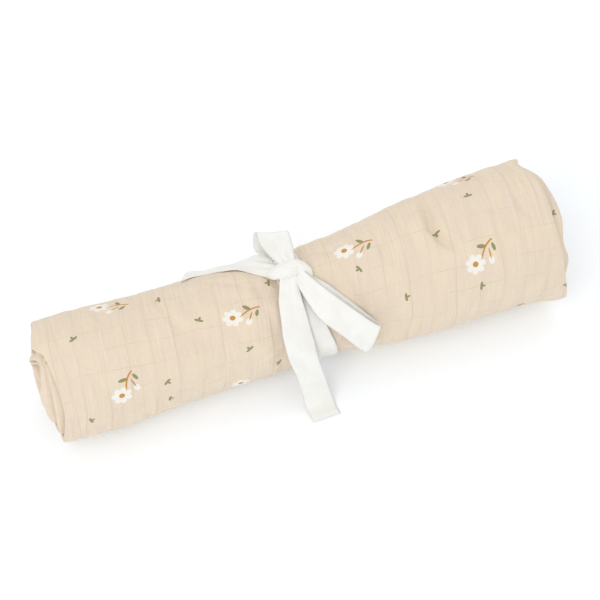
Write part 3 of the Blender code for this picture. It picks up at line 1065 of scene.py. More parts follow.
FRONT_TAIL = pairs(
    OnRoll,
    (-0.6, 78, 5.6, 5.4, 82, 5.6),
    (-3.2, 84, 6.6, 4.8, 88, 6.6),
    (-5.2, 89, 6.6, 4.0, 93, 6.6),
    (-7.4, 95, 5.8, 3.0, 99, 5.8),
    (-10.6, 103, 4.8, 1.2, 107, 4.8),
    (-13.8, 112, 4.2, -0.6, 116, 4.2),
    (-17.4, 127, 3.2, -2.6, 134, 3.2),
    (-20.5, 143, 3.2, -4.6, 158, 3.2)) + pairs(
    InAir,
    (-17.6, -36.0, 40.0, -0.6, -37.0, 38.6),
    (-14.0, -40.5, 24.5, 2.2, -41.5, 22.4),
    (-12.2, -45.5, 10.5, 4.6, -45.5, 8.6),
    (-11.4, -51.0, 2.4, 5.8, -51.0, 1.8),
    (-10.4, -58.4, 0.5, 6.9, -57.9, 0.5))
BACK_TAIL = pairs(
    OnRoll,
    (-3.5, 84, 4.4, -3.0, 66, 6.8),
    (-10.0, 80, 1.6, -5.2, 60, 8.0),
    (-16.0, 72, 0.9, -9.0, 51, 8.2),
    (-21.5, 61, 0.8, -15.7, 35, 3.8),
    (-30.0, 50, 0.9, -25.0, 24, 2.2),
    (-39.0, 43, 0.9, -34.5, 18, 3.2),
    (-48.0, 41, 0.9, -41.5, 15, 4.8),
    (-59.5, 43, 0.7, -48.4, 14, 6.8))
FLAT_LOOP = pairs(
    OnRoll,
    (7.3, 77, 4.6, 7.3, 89, 4.6),
    (10.5, 93, 3.2, 4.5, 108, 3.8),
    (16.7, 110, 2.4, 5.0, 126, 3.4),
    (25.7, 136, 2.0, 11.4, 152, 2.2),
    (33.6, 156, 2.2, 19.8, 176, 2.4),
    (35.6, 160, 4.2, 25.0, 190, 4.4),
    (33.0, 157, 6.0, 21.8, 188, 6.2),
    (25.0, 142, 6.2, 12.0, 161, 6.2),
    (15.4, 119, 6.6, 3.4, 137, 6.0),
    (10.0, 100, 7.0, 1.2, 117, 6.0),
    (7.6, 83, 6.6, 1.6, 96, 6.4))
STANDING_LOOP = pairs(
    InAir,
    (-7.2, 8.0, 70.4, 2.4, 8.0, 68.2),
    (-9.6, 11.2, 71.6, 3.0, 11.6, 69.2),
    (-12.0, 15.0, 74.2, 3.6, 15.4, 72.0),
    (-14.4, 18.5, 77.8, 3.6, 18.2, 74.4),
    (-15.2, 21.8, 81.2, 3.4, 20.2, 77.6),
    (-15.2, 25.0, 83.0, 3.1, 22.8, 78.8),
    (-15.9, 27.6, 79.0, 3.2, 25.8, 75.0),
    (-16.9, 26.6, 74.2, 3.4, 25.8, 70.6),
    (-17.4, 23.5, 69.4, 2.6, 22.6, 66.0),
    (-15.2, 18.6, 68.6, 0.4, 18.4, 64.4),
    (-11.0, 14.0, 67.8, -3.2, 13.6, 64.6))
BAND_TURNS = (0, 45, 80, 120, 155, 185, 250, 360)
BAND_X = (0.0030, 0.0040, 0.0022, -0.0012, -0.0018, -0.0004, 0.0015, 0.0030)


@dataclass(frozen=True)
class StrandRow:
    """A section of the knot's strand: its middle on the roll, its half height and half width."""

    along: float
    turn: float
    lift: float
    high: float
    wide: float


KNOT = (
    StrandRow(-11.0, 79, 2.2, 1.4, 2.0),
    StrandRow(-6.0, 82, 5.4, 3.1, 4.4),
    StrandRow(0.8, 84, 6.6, 3.6, 5.4),
    StrandRow(6.9, 85, 5.8, 3.4, 4.9),
    StrandRow(10.0, 90, 3.8, 2.7, 3.6),
    StrandRow(11.4, 97, 2.2, 1.5, 2.6),
)


@dataclass(frozen=True)
class Run:
    """One visible run of the ribbon between the knot and its end or its fold.

    gather is the height of the small pleats at the knot, bow how far the middle stands over the
    edges, ripple the height of the soft waves along it, and seed draws the waves.
    """

    name: str
    node: str
    rows: tuple[tuple[Edge, Edge], ...]
    length: float
    held: Held
    gather: float
    bow: float
    ripple: float
    seed: int
    gathered_both: bool = False


RUNS = (
    Run("tie_front_tail", "ribbon_front_tail", FRONT_TAIL, 0.099, Held.DRAPED, 0.0006, 0.0005, 0.00025, 31),
    Run("tie_back_tail", "ribbon_back_tail", BACK_TAIL, 0.056, Held.LAID, 0.0007, 0.0004, 0.00030, 32),
    Run("tie_flat_loop", "ribbon_flat_loop", FLAT_LOOP, 0.116, Held.FOLDED, 0.0004, 0.0002, 0.00015, 33,
        gathered_both=True),
    Run("tie_standing_loop", "ribbon_standing_loop", STANDING_LOOP, 0.046, Held.FOLDED, 0.0004, 0.0004,
        0.00015, 34, gathered_both=True),
)


@dataclass
class RibbonTie:
    """The ribbon: a band round the waist, a knot, two loops and two free tails.

    At the knot each run has pleats of that many half waves across it, which fade over their
    reach, and its ripples start past the calm reach. The band's folds run along it, sway from
    side to side and are calm at the back. The strand is the knot's: its pleats are counted
    round it, and its cloth is as wide as the radius says. knot_turn is in degrees, and
    crest_radius in millimetres.
    """

    form: RollForm
    relief: ClothRelief
    width: float = 0.017
    thick: float = 0.00045
    row_steps: int = 12
    across_steps: int = 16
    pleat_waves: float = 3.2
    pleat_phase: float = 0.4
    pleat_reach: float = 0.009
    calm_reach: float = 0.012
    ripple_span: Pair = (0.2, 0.08)
    ripple_wave: Pair = (0.024, 0.020)
    ripple_steps: tuple[int, int] = (256, 128)
    cloth_shift: float = 0.13
    band_lift: float = 0.0011
    band_columns: int = 260
    band_length: float = 0.212
    band_fold: float = 0.00022
    band_folds: float = 2.0
    band_sway: float = 0.35
    band_calm: float = 0.35
    knot_turn: float = 82.0
    crest_radius: float = 32.0
    strand_steps: int = 64
    ring_steps: int = 72
    strand_fold: float = 0.06
    strand_pleats: Pair = (5.0, 9.0)
    strand_drift: float = 0.35
    strand_wander: Wander = Wander(41, 0.09)
    strand_radius: float = 0.004
    tip_power: int = 6
    weld: float = 1e-6
    knot_fill: float = 0.8

    def edge_points(self, rows: Sequence[tuple[Edge, Edge]], share: Array) -> Array:
        """Points across each row: on the roll's curve where both edges lie on it, else straight.

        Args:
            rows: the two edges of each section of a run.
            share: places across, from 0 at the first edge to 1 at the second.

        Returns:
            Points by row and place across.
        """
        found = []
        for first, second in rows:
            pair = [np.array(list(vars(edge).values())) for edge in (first, second)]
            mixed = pair[0] * (1.0 - share[:, None]) + pair[1] * share[:, None]
            if isinstance(first, OnRoll):
                x, turn = mixed[:, 0] * MM, np.radians(mixed[:, 1])
                relief = self.relief.wrinkles(x, self.form.turns_at(turn), turn)
                found.append(self.form.place(x, turn, lift=mixed[:, 2] * MM + np.maximum(relief, 0.0)))
            else:
                found.append(mixed * MM + self.form.offset)
        return np.array(found)

    def smooth_rows(self, rows: Array) -> Array:
        """More rows between the given ones, on the cubic through four neighbours.

        Args:
            rows: points by row and place across.

        Returns:
            The same with more rows.
        """
        padded = np.concatenate((2 * rows[:1] - rows[1:2], rows, 2 * rows[-1:] - rows[-2:-1]))
        t = (np.arange(self.row_steps) / self.row_steps)[None, :, None, None]
        before, start, end, after = (padded[k:k + len(rows) - 1][:, None] for k in range(4))
        curve = 0.5 * (2 * start + (end - before) * t
                       + (2 * before - 5 * start + 4 * end - after) * t**2
                       + (3 * start - 3 * end + after - before) * t**3)
        return np.concatenate((curve.reshape(-1, *rows.shape[1:]), rows[-1:]))

    def build_run(self, run: Run) -> bpy.types.Object:
        """A run of the ribbon: its rows' surface, bowed, gathered at the knot and rippled.

        The surface is moved along its normal by bow (1 - c^2) + gather cos(pleats) exp(-distance)
        + ripple, with c from -1 to 1 across the ribbon.

        Args:
            run: the run's rows and sizes.

        Returns:
            The finished piece, which stands for the run's node.
        """
        share = np.linspace(0.0, 1.0, self.across_steps + 1)
        middle = self.smooth_rows(self.edge_points(run.rows, share))
        normal = np.cross(np.gradient(middle, axis=0), np.gradient(middle, axis=1))
        normal /= np.linalg.norm(normal, axis=2, keepdims=True)
        along = path_lengths(middle, 0).mean(axis=1, keepdims=True)
        total = along[-1, 0]
        from_knot = np.minimum(along, total - along) if run.gathered_both else along
        c = 2.0 * share[None, :] - 1.0
        across = c * self.width / 2
        pleats = np.cos(math.pi * (self.pleat_waves * c + self.pleat_phase))
        pleats = pleats * np.exp(-from_knot / self.pleat_reach)
        field = RandomField(run.seed, self.ripple_span, self.ripple_wave, self.ripple_steps)
        ripple = field.at(along, across)
        free = smooth_ramp(0.0, self.calm_reach, from_knot)
        height = (run.bow * (1.0 - c**2) + run.ripple * ripple) * free + run.gather * pleats
        points = middle + normal * height[..., None]
        points[..., 2] = np.maximum(points[..., 2], 0.5 * self.thick)
        cloth = cloth_rows(across, along + run.seed * self.cloth_shift)
        piece = new_piece(run.name, points, grid_faces(vertex_ids(points)), cloth)
        self.thicken(piece)
        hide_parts(run.node)
        return piece

    def thicken(self, piece: bpy.types.Object) -> None:
        """Give a ribbon surface its thickness, half to each side."""
        solid = piece.modifiers.new("thickness", "SOLIDIFY")
        solid.thickness = self.thick
        solid.offset = 0.0

    def build_band(self) -> bpy.types.Object:
        """The band round the waist: a closed ring on the cloth with soft lengthwise folds.

        A fold is fold cos(2 pi (folds s + sway sin(2a + 1))) at the share s across, and calmer
        towards the back, away from the knot.

        Returns:
            The finished piece, which stands for the band's node.
        """
        turn = np.linspace(0.0, 360.0, self.band_columns, endpoint=False)[:, None]
        share = np.linspace(-0.5, 0.5, self.across_steps + 1)[None, :]
        middle = cubic_between(np.array(BAND_TURNS, float), np.array(BAND_X), turn)
        angle = np.radians(turn)
        to_knot = 1.0 - np.abs(np.mod(turn - self.knot_turn + 180.0, 360.0) - 180.0) / 180.0
        sway = self.band_sway * np.sin(angle * 2 + 1)
        folds = self.band_fold * np.cos(math.tau * (self.band_folds * share + sway))
        lift = self.band_lift + folds * (self.band_calm + (1.0 - self.band_calm) * to_knot)
        points = self.form.place(middle + self.width * share, angle, lift=lift)
        cloth = cloth_rows(share * self.width, angle * self.form.section(middle)["high"])
        ids = vertex_ids(points)
        piece = new_piece("tie_band", points, grid_faces(np.concatenate((ids, ids[:1]))), cloth)
        self.thicken(piece)
        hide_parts("ribbon_band")
        return piece

    def build_knot(self) -> bpy.types.Object:
        """The knot: a strand of gathered ribbon over the crossing, with folds along it.

        Its middle follows the rows of the strand. Round it the radius is an ellipse's times
        1 + fold (cos(pleats) + cos(finer pleats) / 2), and at both tips it closes as
        (1 - e^power)^(1/2), with e from -1 to 1 along it.

        Returns:
            The finished piece, which stands for the knot's node.
        """
        rows = np.array([list(vars(row).values()) for row in KNOT])
        steps = np.hypot(np.diff(rows[:, 0]), np.radians(np.diff(rows[:, 1])) * self.crest_radius)
        at = np.concatenate(([0.0], np.cumsum(steps)))
        e = np.sin(np.linspace(-1.0, 1.0, self.strand_steps + 1) * math.pi / 2)
        s = (e + 1.0) / 2.0 * at[-1]
        along, turn, lift, high, wide = (cubic_between(at, column, s) for column in rows.T)
        angle = np.radians(turn)
        middle = self.form.place(along * MM, angle, lift=lift * MM)
        above = self.form.place(along * MM, angle, lift=(lift + 1.0) * MM)
        forward = np.gradient(middle, axis=0)
        forward /= np.linalg.norm(forward, axis=1, keepdims=True)
        outward = above - middle
        outward -= np.sum(outward * forward, axis=1, keepdims=True) * forward
        outward /= np.linalg.norm(outward, axis=1, keepdims=True)
        beside = np.cross(forward, outward)
        ring = np.linspace(0.0, math.tau, self.ring_steps, endpoint=False)[None, :]
        size = np.sqrt(np.clip(1.0 - e**self.tip_power, 0.0, None))[:, None]
        drift = self.strand_drift * self.strand_wander.at(s)[:, None]
        coarse, fine = self.strand_pleats
        pleats = np.cos(coarse * (ring + drift)) + 0.5 * np.cos(fine * (ring - drift))
        reach = size * (1.0 + self.strand_fold * pleats) * MM
        across = (np.cos(ring) * reach * wide[:, None])[..., None]
        up = (np.sin(ring) * reach * high[:, None])[..., None]
        points = middle[:, None] + across * beside[:, None] + up * outward[:, None]
        cloth = cloth_rows((ring - math.pi) * self.strand_radius, s[:, None] * MM)
        piece = new_piece("tie_knot", points, grid_faces(vertex_ids(points), wrap=True), cloth)
        turn_outwards(piece.data, self.weld)
        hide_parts("ribbon_knot")
        return piece


# ---- shader maths -----------------------------------------------------------------------------
class Value:
    """A number that a shader works out. Sums written with it add Math nodes."""

    def __init__(self, nodes: "NodeTree", socket: bpy.types.NodeSocket) -> None:
        """Keep the socket and the tree that it belongs to."""
        self.nodes = nodes
        self.socket = socket

    def math(self, operation: str, *others: Number) -> "Value":
        """The result of a Math node on this value and others."""
        inputs = {index: other for index, other in enumerate((self, *others))}
        return self.nodes.value("ShaderNodeMath", {"operation": operation}, inputs)

    def __add__(self, other: Number) -> "Value":
        """This value and another, added."""
        return self.math("ADD", other)

    __radd__ = __add__

    def __sub__(self, other: Number) -> "Value":
        """This value less another."""
        return self.math("SUBTRACT", other)

    def __rsub__(self, other: float) -> "Value":
        """A number less this value."""
        return self * -1.0 + other

    def __mul__(self, other: Number) -> "Value":
        """This value times another."""
        return self.math("MULTIPLY", other)

    __rmul__ = __mul__

    def __truediv__(self, other: Number) -> "Value":
        """This value over another."""
        return self.math("DIVIDE", other)

    def __abs__(self) -> "Value":
        """This value without its sign."""
        return self.math("ABSOLUTE")

    def most(self, *others: "Value") -> "Value":
        """The largest of this value and others."""
        return reduce(lambda largest, other: largest.math("MAXIMUM", other), others, self)

    def ramp(self, low: float, high: float) -> "Value":
        """0 below low and 1 above high, smoothly; the other way round if low is over high."""
        start, end = (0.0, 1.0) if low < high else (1.0, 0.0)
        return self.nodes.value("ShaderNodeMapRange", {"interpolation_type": "SMOOTHSTEP"},
                                {"Value": self, "From Min": min(low, high), "From Max": max(low, high),
                                 "To Min": start, "To Max": end})


class NodeTree:
    """A material's nodes, each made by one method."""

    def __init__(self, name: str) -> None:
        """Start a material with its Principled shader and output."""
        self.material = bpy.data.materials.new(name)
        self.material.use_nodes = True
        self.tree = self.material.node_tree
        self.shader = self.tree.nodes["Principled BSDF"]

    def node(self, kind: str, settings: dict | None = None, inputs: dict | None = None) -> bpy.types.Node:
        """Add a node.

        Args:
            kind: the node's type.
            settings: its own settings, which are set first.
            inputs: a value or a link for each socket, by identifier, name or number.

        Returns:
            The node.
        """
        node = self.tree.nodes.new(kind)
        for name, setting in (settings or {}).items():
            setattr(node, name, setting)
        for key, given in (inputs or {}).items():
            self.feed(self.socket(node.inputs, key), given)
        return node

    def socket(self, sockets: bpy.types.NodeInputs, key: str | int) -> bpy.types.NodeSocket:
        """Find a socket.

        Args:
            sockets: a node's inputs or outputs.
            key: the socket's number, identifier or name.

        Returns:
            The socket.
        """
        if isinstance(key, int):
            return sockets[key]
        named = [s for s in sockets if s.identifier == key]
        return named[0] if named else sockets[key]

    def feed(self, socket: bpy.types.NodeSocket, given: object) -> None:
        """Link something to a socket, or set the socket's constant.

        Args:
            socket: an input.
            given: a value or an output to link, or the constant.
        """
        if isinstance(given, Value):
            given = given.socket
        if isinstance(given, bpy.types.NodeSocket):
            self.tree.links.new(given, socket)
        elif isinstance(given, tuple) and len(given) == 3 and socket.type == "RGBA":
            socket.default_value = (*given, 1.0)
        else:
            socket.default_value = given

    def value(self, kind: str, settings: dict | None = None, inputs: dict | None = None,
              output: str | int = 0) -> Value:
        """Add a node and take one of its outputs as a value."""
        return Value(self, self.socket(self.node(kind, settings, inputs).outputs, output))

    def mix(self, factor: Number, first: object, second: object) -> bpy.types.NodeSocket:
        """Two colours mixed by a factor."""
        inputs = {"Factor_Float": factor, "A_Color": first, "B_Color": second}
        node = self.node("ShaderNodeMix", {"data_type": "RGBA"}, inputs)
        return self.socket(node.outputs, "Result_Color")

    def noise(self, vector: bpy.types.NodeSocket, scale: float, detail: float = 2.0) -> Value:
        """Smooth noise about 0.5 at a place, with a number of waves for each unit."""
        return self.value("ShaderNodeTexNoise", {"noise_dimensions": "2D"},
                          {"Vector": vector, "Scale": scale, "Detail": detail}, "Fac")

    def grain(self, place: tuple[Value, Value], waves: Pair, detail: float = 1.0,
              shift: float = 0.0) -> Value:
        """Noise stretched over the cloth.

        Args:
            place: across and along the cloth, in millimetres.
            waves: waves for each millimetre, both ways.
            detail: how many finer waves are added.
            shift: moves the noise, so that two of the same waves differ.

        Returns:
            Values about 0.5.
        """
        across = place[0] * waves[0]
        across = across + shift if shift else across
        return self.noise(self.point(across, place[1] * waves[1]), 1.0, detail)

    def point(self, x: Number, y: Number, z: Number = 0.0) -> bpy.types.NodeSocket:
        """Three numbers as a vector."""
        return self.node("ShaderNodeCombineXYZ", None, {"X": x, "Y": y, "Z": z}).outputs[0]

    def cloth_place(self) -> tuple[Value, Value, Value]:
        """Place on the flat cloth in millimetres: across it, along it, and from its middle line."""
        place = self.node("ShaderNodeAttribute", {"attribute_name": "cloth"}).outputs["Vector"]
        split = self.node("ShaderNodeSeparateXYZ", None, {"Vector": place})
        return tuple(Value(self, output) * (1.0 / MM) for output in split.outputs)

    def bump(self, height: Value, distance: float, strength: float = 1.0) -> None:
        """Feed a height to the shader's normal."""
        node = self.node("ShaderNodeBump", None,
                         {"Height": height, "Distance": distance, "Strength": strength})
        self.feed(self.shader.inputs["Normal"], node.outputs["Normal"])

    def finish(self, colour: object, roughness: Number, sheen: float = 0.0,
               sheen_roughness: float = 0.5) -> None:
        """Set the shader's colour, roughness and sheen."""
        for name, given in (("Base Color", colour), ("Roughness", roughness),
                            ("Sheen Weight", sheen), ("Sheen Roughness", sheen_roughness),
                            ("Specular IOR Level", 0.25)):
            self.feed(self.shader.inputs[name], given)


# ---- the finishes -------------------------------------------------------------------------------
@dataclass(frozen=True)
class Blob:
    """A filled ellipse of the print, in millimetres.

    It has a middle, a turn of its long axis in degrees, half axes, and a soft edge whose width is
    a share of its size.
    """

    centre: Pair
    angle: float
    half: Pair
    soft: float = 0.25

    def mask(self, x: Value, y: Value) -> Value:
        """1 inside the ellipse and 0 outside: the length of (x / half, y / half), turned, against 1."""
        c, s = math.cos(math.radians(self.angle)), math.sin(math.radians(self.angle))
        dx, dy = x - self.centre[0], y - self.centre[1]
        a = (dx * c + dy * s) / self.half[0]
        b = (dy * c - dx * s) / self.half[1]
        return (a * a + b * b).math("SQRT").ramp(1.0 + self.soft / 2, 1.0 - self.soft / 2)


@dataclass(frozen=True)
class Daisy:
    """A daisy on a bent stem with a side bud, in millimetres about the motif's middle.

    Pairs of numbers are where a soft edge starts and ends.
    """

    high: float = 6.5
    petals: int = 7
    petal: float = 2.6
    petal_edge: Pair = (3.7, 3.2)
    heart: Pair = (1.9, 1.5)
    stem_bend: float = 1.5
    stem_wave: float = 0.24
    stem_half: Pair = (0.62, 0.42)
    stem_top: Pair = (3.0, 2.4)
    stem_foot: Pair = (-11.0, -10.4)
    bud: Blob = Blob((6.4, -1.0), 40, (2.4, 1.7))
    twig: Blob = Blob((3.2, -3.4), 38, (3.2, 0.45), 0.5)
    leaves: tuple[Blob, Blob] = (Blob((-3.4, -3.6), 145, (2.8, 1.2)), Blob((2.6, -7.6), 30, (2.5, 1.0)))

    def masks(self, x: Value, y: Value) -> tuple[Value, Value, Value]:
        """Where the motif is white, ochre and sage.

        The petals' edge lies at edge + petal sqrt(|cos(petals a / 2)|) from the flower's middle,
        at the angle a. The stem's middle is at bend sin(wave y).

        Args:
            x: place across the flower.
            y: place up the flower.

        Returns:
            The three masks.
        """
        high = y - self.high
        reach = (x * x + high * high).math("SQRT")
        petal = abs((high.math("ARCTAN2", x) * (self.petals / 2)).math("COSINE")).math("SQRT")
        white = (reach - petal * self.petal).ramp(*self.petal_edge)
        stem = abs(x - (y * self.stem_wave).math("SINE") * self.stem_bend).ramp(*self.stem_half)
        stem = stem * y.ramp(*self.stem_top) * y.ramp(*self.stem_foot)
        ochre = reach.ramp(*self.heart).most(stem * (1.0 - white), self.twig.mask(x, y))
        first, second = (leaf.mask(x, y) for leaf in self.leaves)
        return white.most(self.bud.mask(x, y)), ochre, first.most(second)


# Three small leaves that spread from one point, by the angle of each.
SPRIG = tuple(Blob((1.3 * math.cos(a), 1.3 * math.sin(a)), math.degrees(a), (1.5, 0.75))
              for a in (0.4, 1.75, 3.1))


@dataclass(frozen=True)
class MuslinFinish:
    """Double gauze in warm beige, with a grid of fine stitches and a small scattered print.

    Sizes are in millimetres, and shares are of a full change of colour.
    """

    ground: Colour = srgb(229, 213, 192)
    pale: Colour = srgb(233, 218, 192)
    rosy: Colour = srgb(226, 207, 192)
    line: Colour = srgb(199, 178, 153)
    thread: Colour = srgb(237, 224, 205)
    white: Colour = srgb(240, 237, 230)
    ochre: Colour = srgb(197, 138, 46)
    sage: Colour = srgb(140, 141, 98)
    tint_share: float = 0.42
    streak_share: float = 0.11
    fleck_share: float = 0.06
    light_share: float = 0.38
    stitch_share: float = 0.29
    print_share: float = 0.94
    line_sway: float = 3.0
    line_edges: Pair = (0.50, 0.16)
    line_least: float = 0.18
    side_edges: Pair = (0.42, 0.10)
    side_lines: tuple[Pair, ...] = (
        (0.95, 0.50), (-1.25, 0.36), (2.1, 0.24), (6.4, 0.55), (-5.3, 0.30))
    along_edges: Pair = (0.46, 0.12)
    along_share: float = 0.62
    hem_line: float = 141.5
    hem_edges: Pair = (0.50, 0.15)
    hem_share: float = 0.6
    cell: Pair = (72.0, 62.0)
    flower: Daisy = Daisy()
    flower_shift: Pair = (5.0, 4.0)
    flower_turn: Pair = (2.4, 1.57)
    sprig_shift: Pair = (9.0, 8.0)
    sprig_turn: float = 40.0
    sprig_draw: Pair = (0.73, 0.74)
    weave_pitch: float = 0.55
    bump_depth: float = 0.0006
    bump_strength: float = 0.72
    roughness: float = 0.92
    sheen: float = 0.12
    sheen_roughness: float = 0.45

    def material(self) -> bpy.types.Material:
        """The finished material.

        Returns:
            A material that reads the cloth's own coordinates.
        """
        n = NodeTree("muslin")
        u, v, from_middle = n.cloth_place()
        place = (u, v)
        u_line = u + (n.noise(n.point(u, v), 0.030, 0.0) - 0.5) * self.line_sway
        v_line = v + (n.noise(n.point(v, u), 0.035, 0.0) - 0.5) * self.line_sway
        stitches = self.stitches(n, u_line, v_line, from_middle)
        slub_u = n.grain(place, (0.05, 0.95))
        slub_v = n.grain(place, (0.85, 0.035))
        streaks = slub_u.ramp(0.60, 0.85) * 0.45 + slub_v.ramp(0.52, 0.80)
        tint = n.grain(place, (0.11, 0.06), 3.0)
        fleck = n.grain(place, (0.8, 0.8)).ramp(0.45, 0.80)
        light = n.grain(place, (0.75, 0.030), shift=30.0).ramp(0.55, 0.80)
        layers = [(tint.ramp(0.52, 0.28) * self.tint_share, self.pale),
                  (tint.ramp(0.48, 0.72) * self.tint_share, self.rosy),
                  (streaks * self.streak_share + fleck * self.fleck_share, self.line),
                  (light * self.light_share, self.thread),
                  (stitches * self.stitch_share, self.line)]
        layers += [(mask * self.print_share, ink) for mask, ink in self.print_masks(n, u, v)]
        colour = self.ground
        for share, tone in layers:
            colour = n.mix(share, colour, tone)
        across, along = ((at * (math.tau / self.weave_pitch)).math("SINE") for at in place)
        crinkle = n.grain(place, (0.34, 0.22), 3.0)
        ribs = n.grain(place, (0.55, 0.06), 2.0)
        height = crinkle * 0.55 + ribs * 0.40 + across * along * 0.035 + slub_v * 0.12 - stitches * 0.17
        n.bump(height, self.bump_depth, self.bump_strength)
        n.finish(colour, self.roughness, self.sheen, self.sheen_roughness)
        return n.material

    def stitches(self, n: NodeTree, u: Value, v: Value, from_middle: Value) -> Value:
        """Lines of stitches a thread pitch apart, both ways, stronger here and fainter there.

        A line that runs round the roll has fainter ones beside it, and one that runs along the
        roll comes and goes.

        Args:
            n: the material's nodes.
            u: place along the roll's axis, in millimetres.
            v: place along the strip.
            from_middle: distance from the strip's middle line.

        Returns:
            0 between the lines, and up to 1 on them.
        """
        pitch = THREAD_PITCH / MM
        place = (u, v)
        round_it, along_it = ((at / pitch).math("FRACT") * pitch - pitch / 2 for at in place)
        worn = n.grain(place, (0.07, 0.022), 2.0).ramp(0.34, 0.62)
        lines = abs(round_it).ramp(*self.line_edges) * (worn * (1.0 - self.line_least) + self.line_least)
        for shift, share in self.side_lines:
            seen = n.grain(place, (0.07, 0.02), shift=shift * 9.0).ramp(0.42, 0.60)
            lines = lines.most(abs(round_it - shift).ramp(*self.side_edges) * seen * share)
        broken = n.grain(place, (0.035, 0.07), 2.0).ramp(0.38, 0.64)
        along = abs(along_it).ramp(*self.along_edges) * (broken * self.along_share + self.line_least)
        hem = abs(abs(from_middle) - self.hem_line).ramp(*self.hem_edges) * self.hem_share
        return lines.most(along, hem)

    def turned(self, x: Value, y: Value, angle: Value) -> tuple[Value, Value]:
        """A place turned about the origin by an angle."""
        c, s = angle.math("COSINE"), angle.math("SINE")
        return x * c + y * s, y * c - x * s

    def print_masks(self, n: NodeTree, u: Value, v: Value) -> list[tuple[Value, Colour]]:
        """The scattered print: one flower in each cell of a half-drop repeat, sprigs round it.

        A cell is split into three by three parts: the flower has the middle one, and about a
        quarter of the others hold a sprig. Fixed random numbers turn and shift each motif.

        Args:
            n: the material's nodes.
            u: place along the roll's axis, in millimetres.
            v: place along the strip.

        Returns:
            Masks with the colour of each.
        """
        wide, tall = self.cell
        column = (u / wide).math("FLOOR")
        cell_u = (u / wide - column - 0.5) * wide
        lifted = v / tall + (column * 0.5).math("FRACT")
        row = lifted.math("FLOOR")
        cell_v = (lifted - row - 0.5) * tall
        r, g, b = self.random(n, column, row, 7.0)
        spread, middle = self.flower_turn
        x, y = self.turned(cell_u - (r - 0.5) * self.flower_shift[0],
                           cell_v - (g - 0.5) * self.flower_shift[1], (b - 0.5) * spread + middle)
        white, ochre, sage = self.flower.masks(x, y)
        part_u, part_v = ((at / (size / 3)).math("ROUND") for at, size in ((cell_u, wide), (cell_v, tall)))
        r, g, b = self.random(n, column * 3.0 + part_u, row * 3.0 + part_v, 2.0)
        x, y = self.turned(cell_u - part_u * (wide / 3) - (g - 0.5) * self.sprig_shift[0],
                           cell_v - part_v * (tall / 3) - (b - 0.5) * self.sprig_shift[1],
                           g * self.sprig_turn)
        first, *others = (leaf.mask(x, y) for leaf in SPRIG)
        aside = (abs(part_u) + abs(part_v)).ramp(0.3, 0.6)
        small = first.most(*others) * aside * r.ramp(*self.sprig_draw)
        return [(sage.most(small), self.sage), (white, self.white), (ochre, self.ochre)]

    def random(self, n: NodeTree, column: Value, row: Value, seed: float) -> list[Value]:
        """Three fixed random numbers for a cell.

        Args:
            n: the material's nodes.
            column: the cell's column.
            row: its row.
            seed: another one gives other numbers.

        Returns:
            Numbers from 0 to 1.
        """
        noise = n.node("ShaderNodeTexWhiteNoise", {"noise_dimensions": "3D"},
                       {"Vector": n.point(column, row, seed)})
        split = n.node("ShaderNodeSeparateColor", None, {"Color": noise.outputs["Color"]})
        return [Value(n, output) for output in split.outputs]


@dataclass(frozen=True)
class RibbonFinish:
    """Soft white woven ribbon with fine ribs across it and firm edges, in millimetres."""

    ground: Colour = srgb(243, 242, 237)
    dim: Colour = srgb(236, 234, 228)
    edge_from: Pair = (7.6, 8.1)
    edge_to: Pair = (8.6, 8.3)
    edge_share: float = 0.5
    cloud_share: float = 0.5
    thread_share: float = 0.3
    rib_pitch: float = 0.42
    bump_depth: float = 0.0003
    bump_strength: float = 0.5
    roughness: float = 0.62
    sheen: float = 0.20
    sheen_roughness: float = 0.35

    def material(self) -> bpy.types.Material:
        """The finished material.

        Returns:
            A material that reads the ribbon's own coordinates.
        """
        n = NodeTree("white_ribbon")
        u, v, _ = n.cloth_place()
        place = n.point(u, v)
        threads = n.grain((u, v), (3.0, 0.12))
        cloud = n.noise(place, 0.12).ramp(0.35, 0.70)
        edge = abs(u).ramp(*self.edge_from) * abs(u).ramp(*self.edge_to)
        worn = cloud * self.cloud_share + threads.ramp(0.5, 0.8) * self.thread_share
        colour = n.mix(worn, self.ground, self.dim)
        colour = n.mix(edge * self.edge_share, colour, self.dim)
        ribs = (v * (math.tau / self.rib_pitch)).math("SINE")
        height = ribs * 0.10 + threads * 0.25 + n.noise(place, 0.45) * 0.5 + edge * 0.3
        n.bump(height, self.bump_depth, self.bump_strength)
        n.finish(colour, self.roughness, self.sheen, self.sheen_roughness)
        return n.material


# ---- the setting --------------------------------------------------------------------------------
@dataclass(frozen=True)
class SoftLight:
    """A square area light: where it hangs, where it points, its side, power and colour."""

    name: str
    place: Spot
    aim: Spot
    side: float
    power: float
    colour: Colour = (1.0, 1.0, 1.0)

    def build(self) -> None:
        """Add the light to the scene."""
        data = bpy.data.lights.new(self.name, "AREA")
        data.size = self.side
        data.energy = self.power
        data.color = self.colour
        light = bpy.data.objects.new(self.name, data)
        light.location = self.place
        light.rotation_euler = (Vector(self.place) - Vector(self.aim)).to_track_quat("Z", "Y").to_euler()
        bpy.context.scene.collection.objects.link(light)


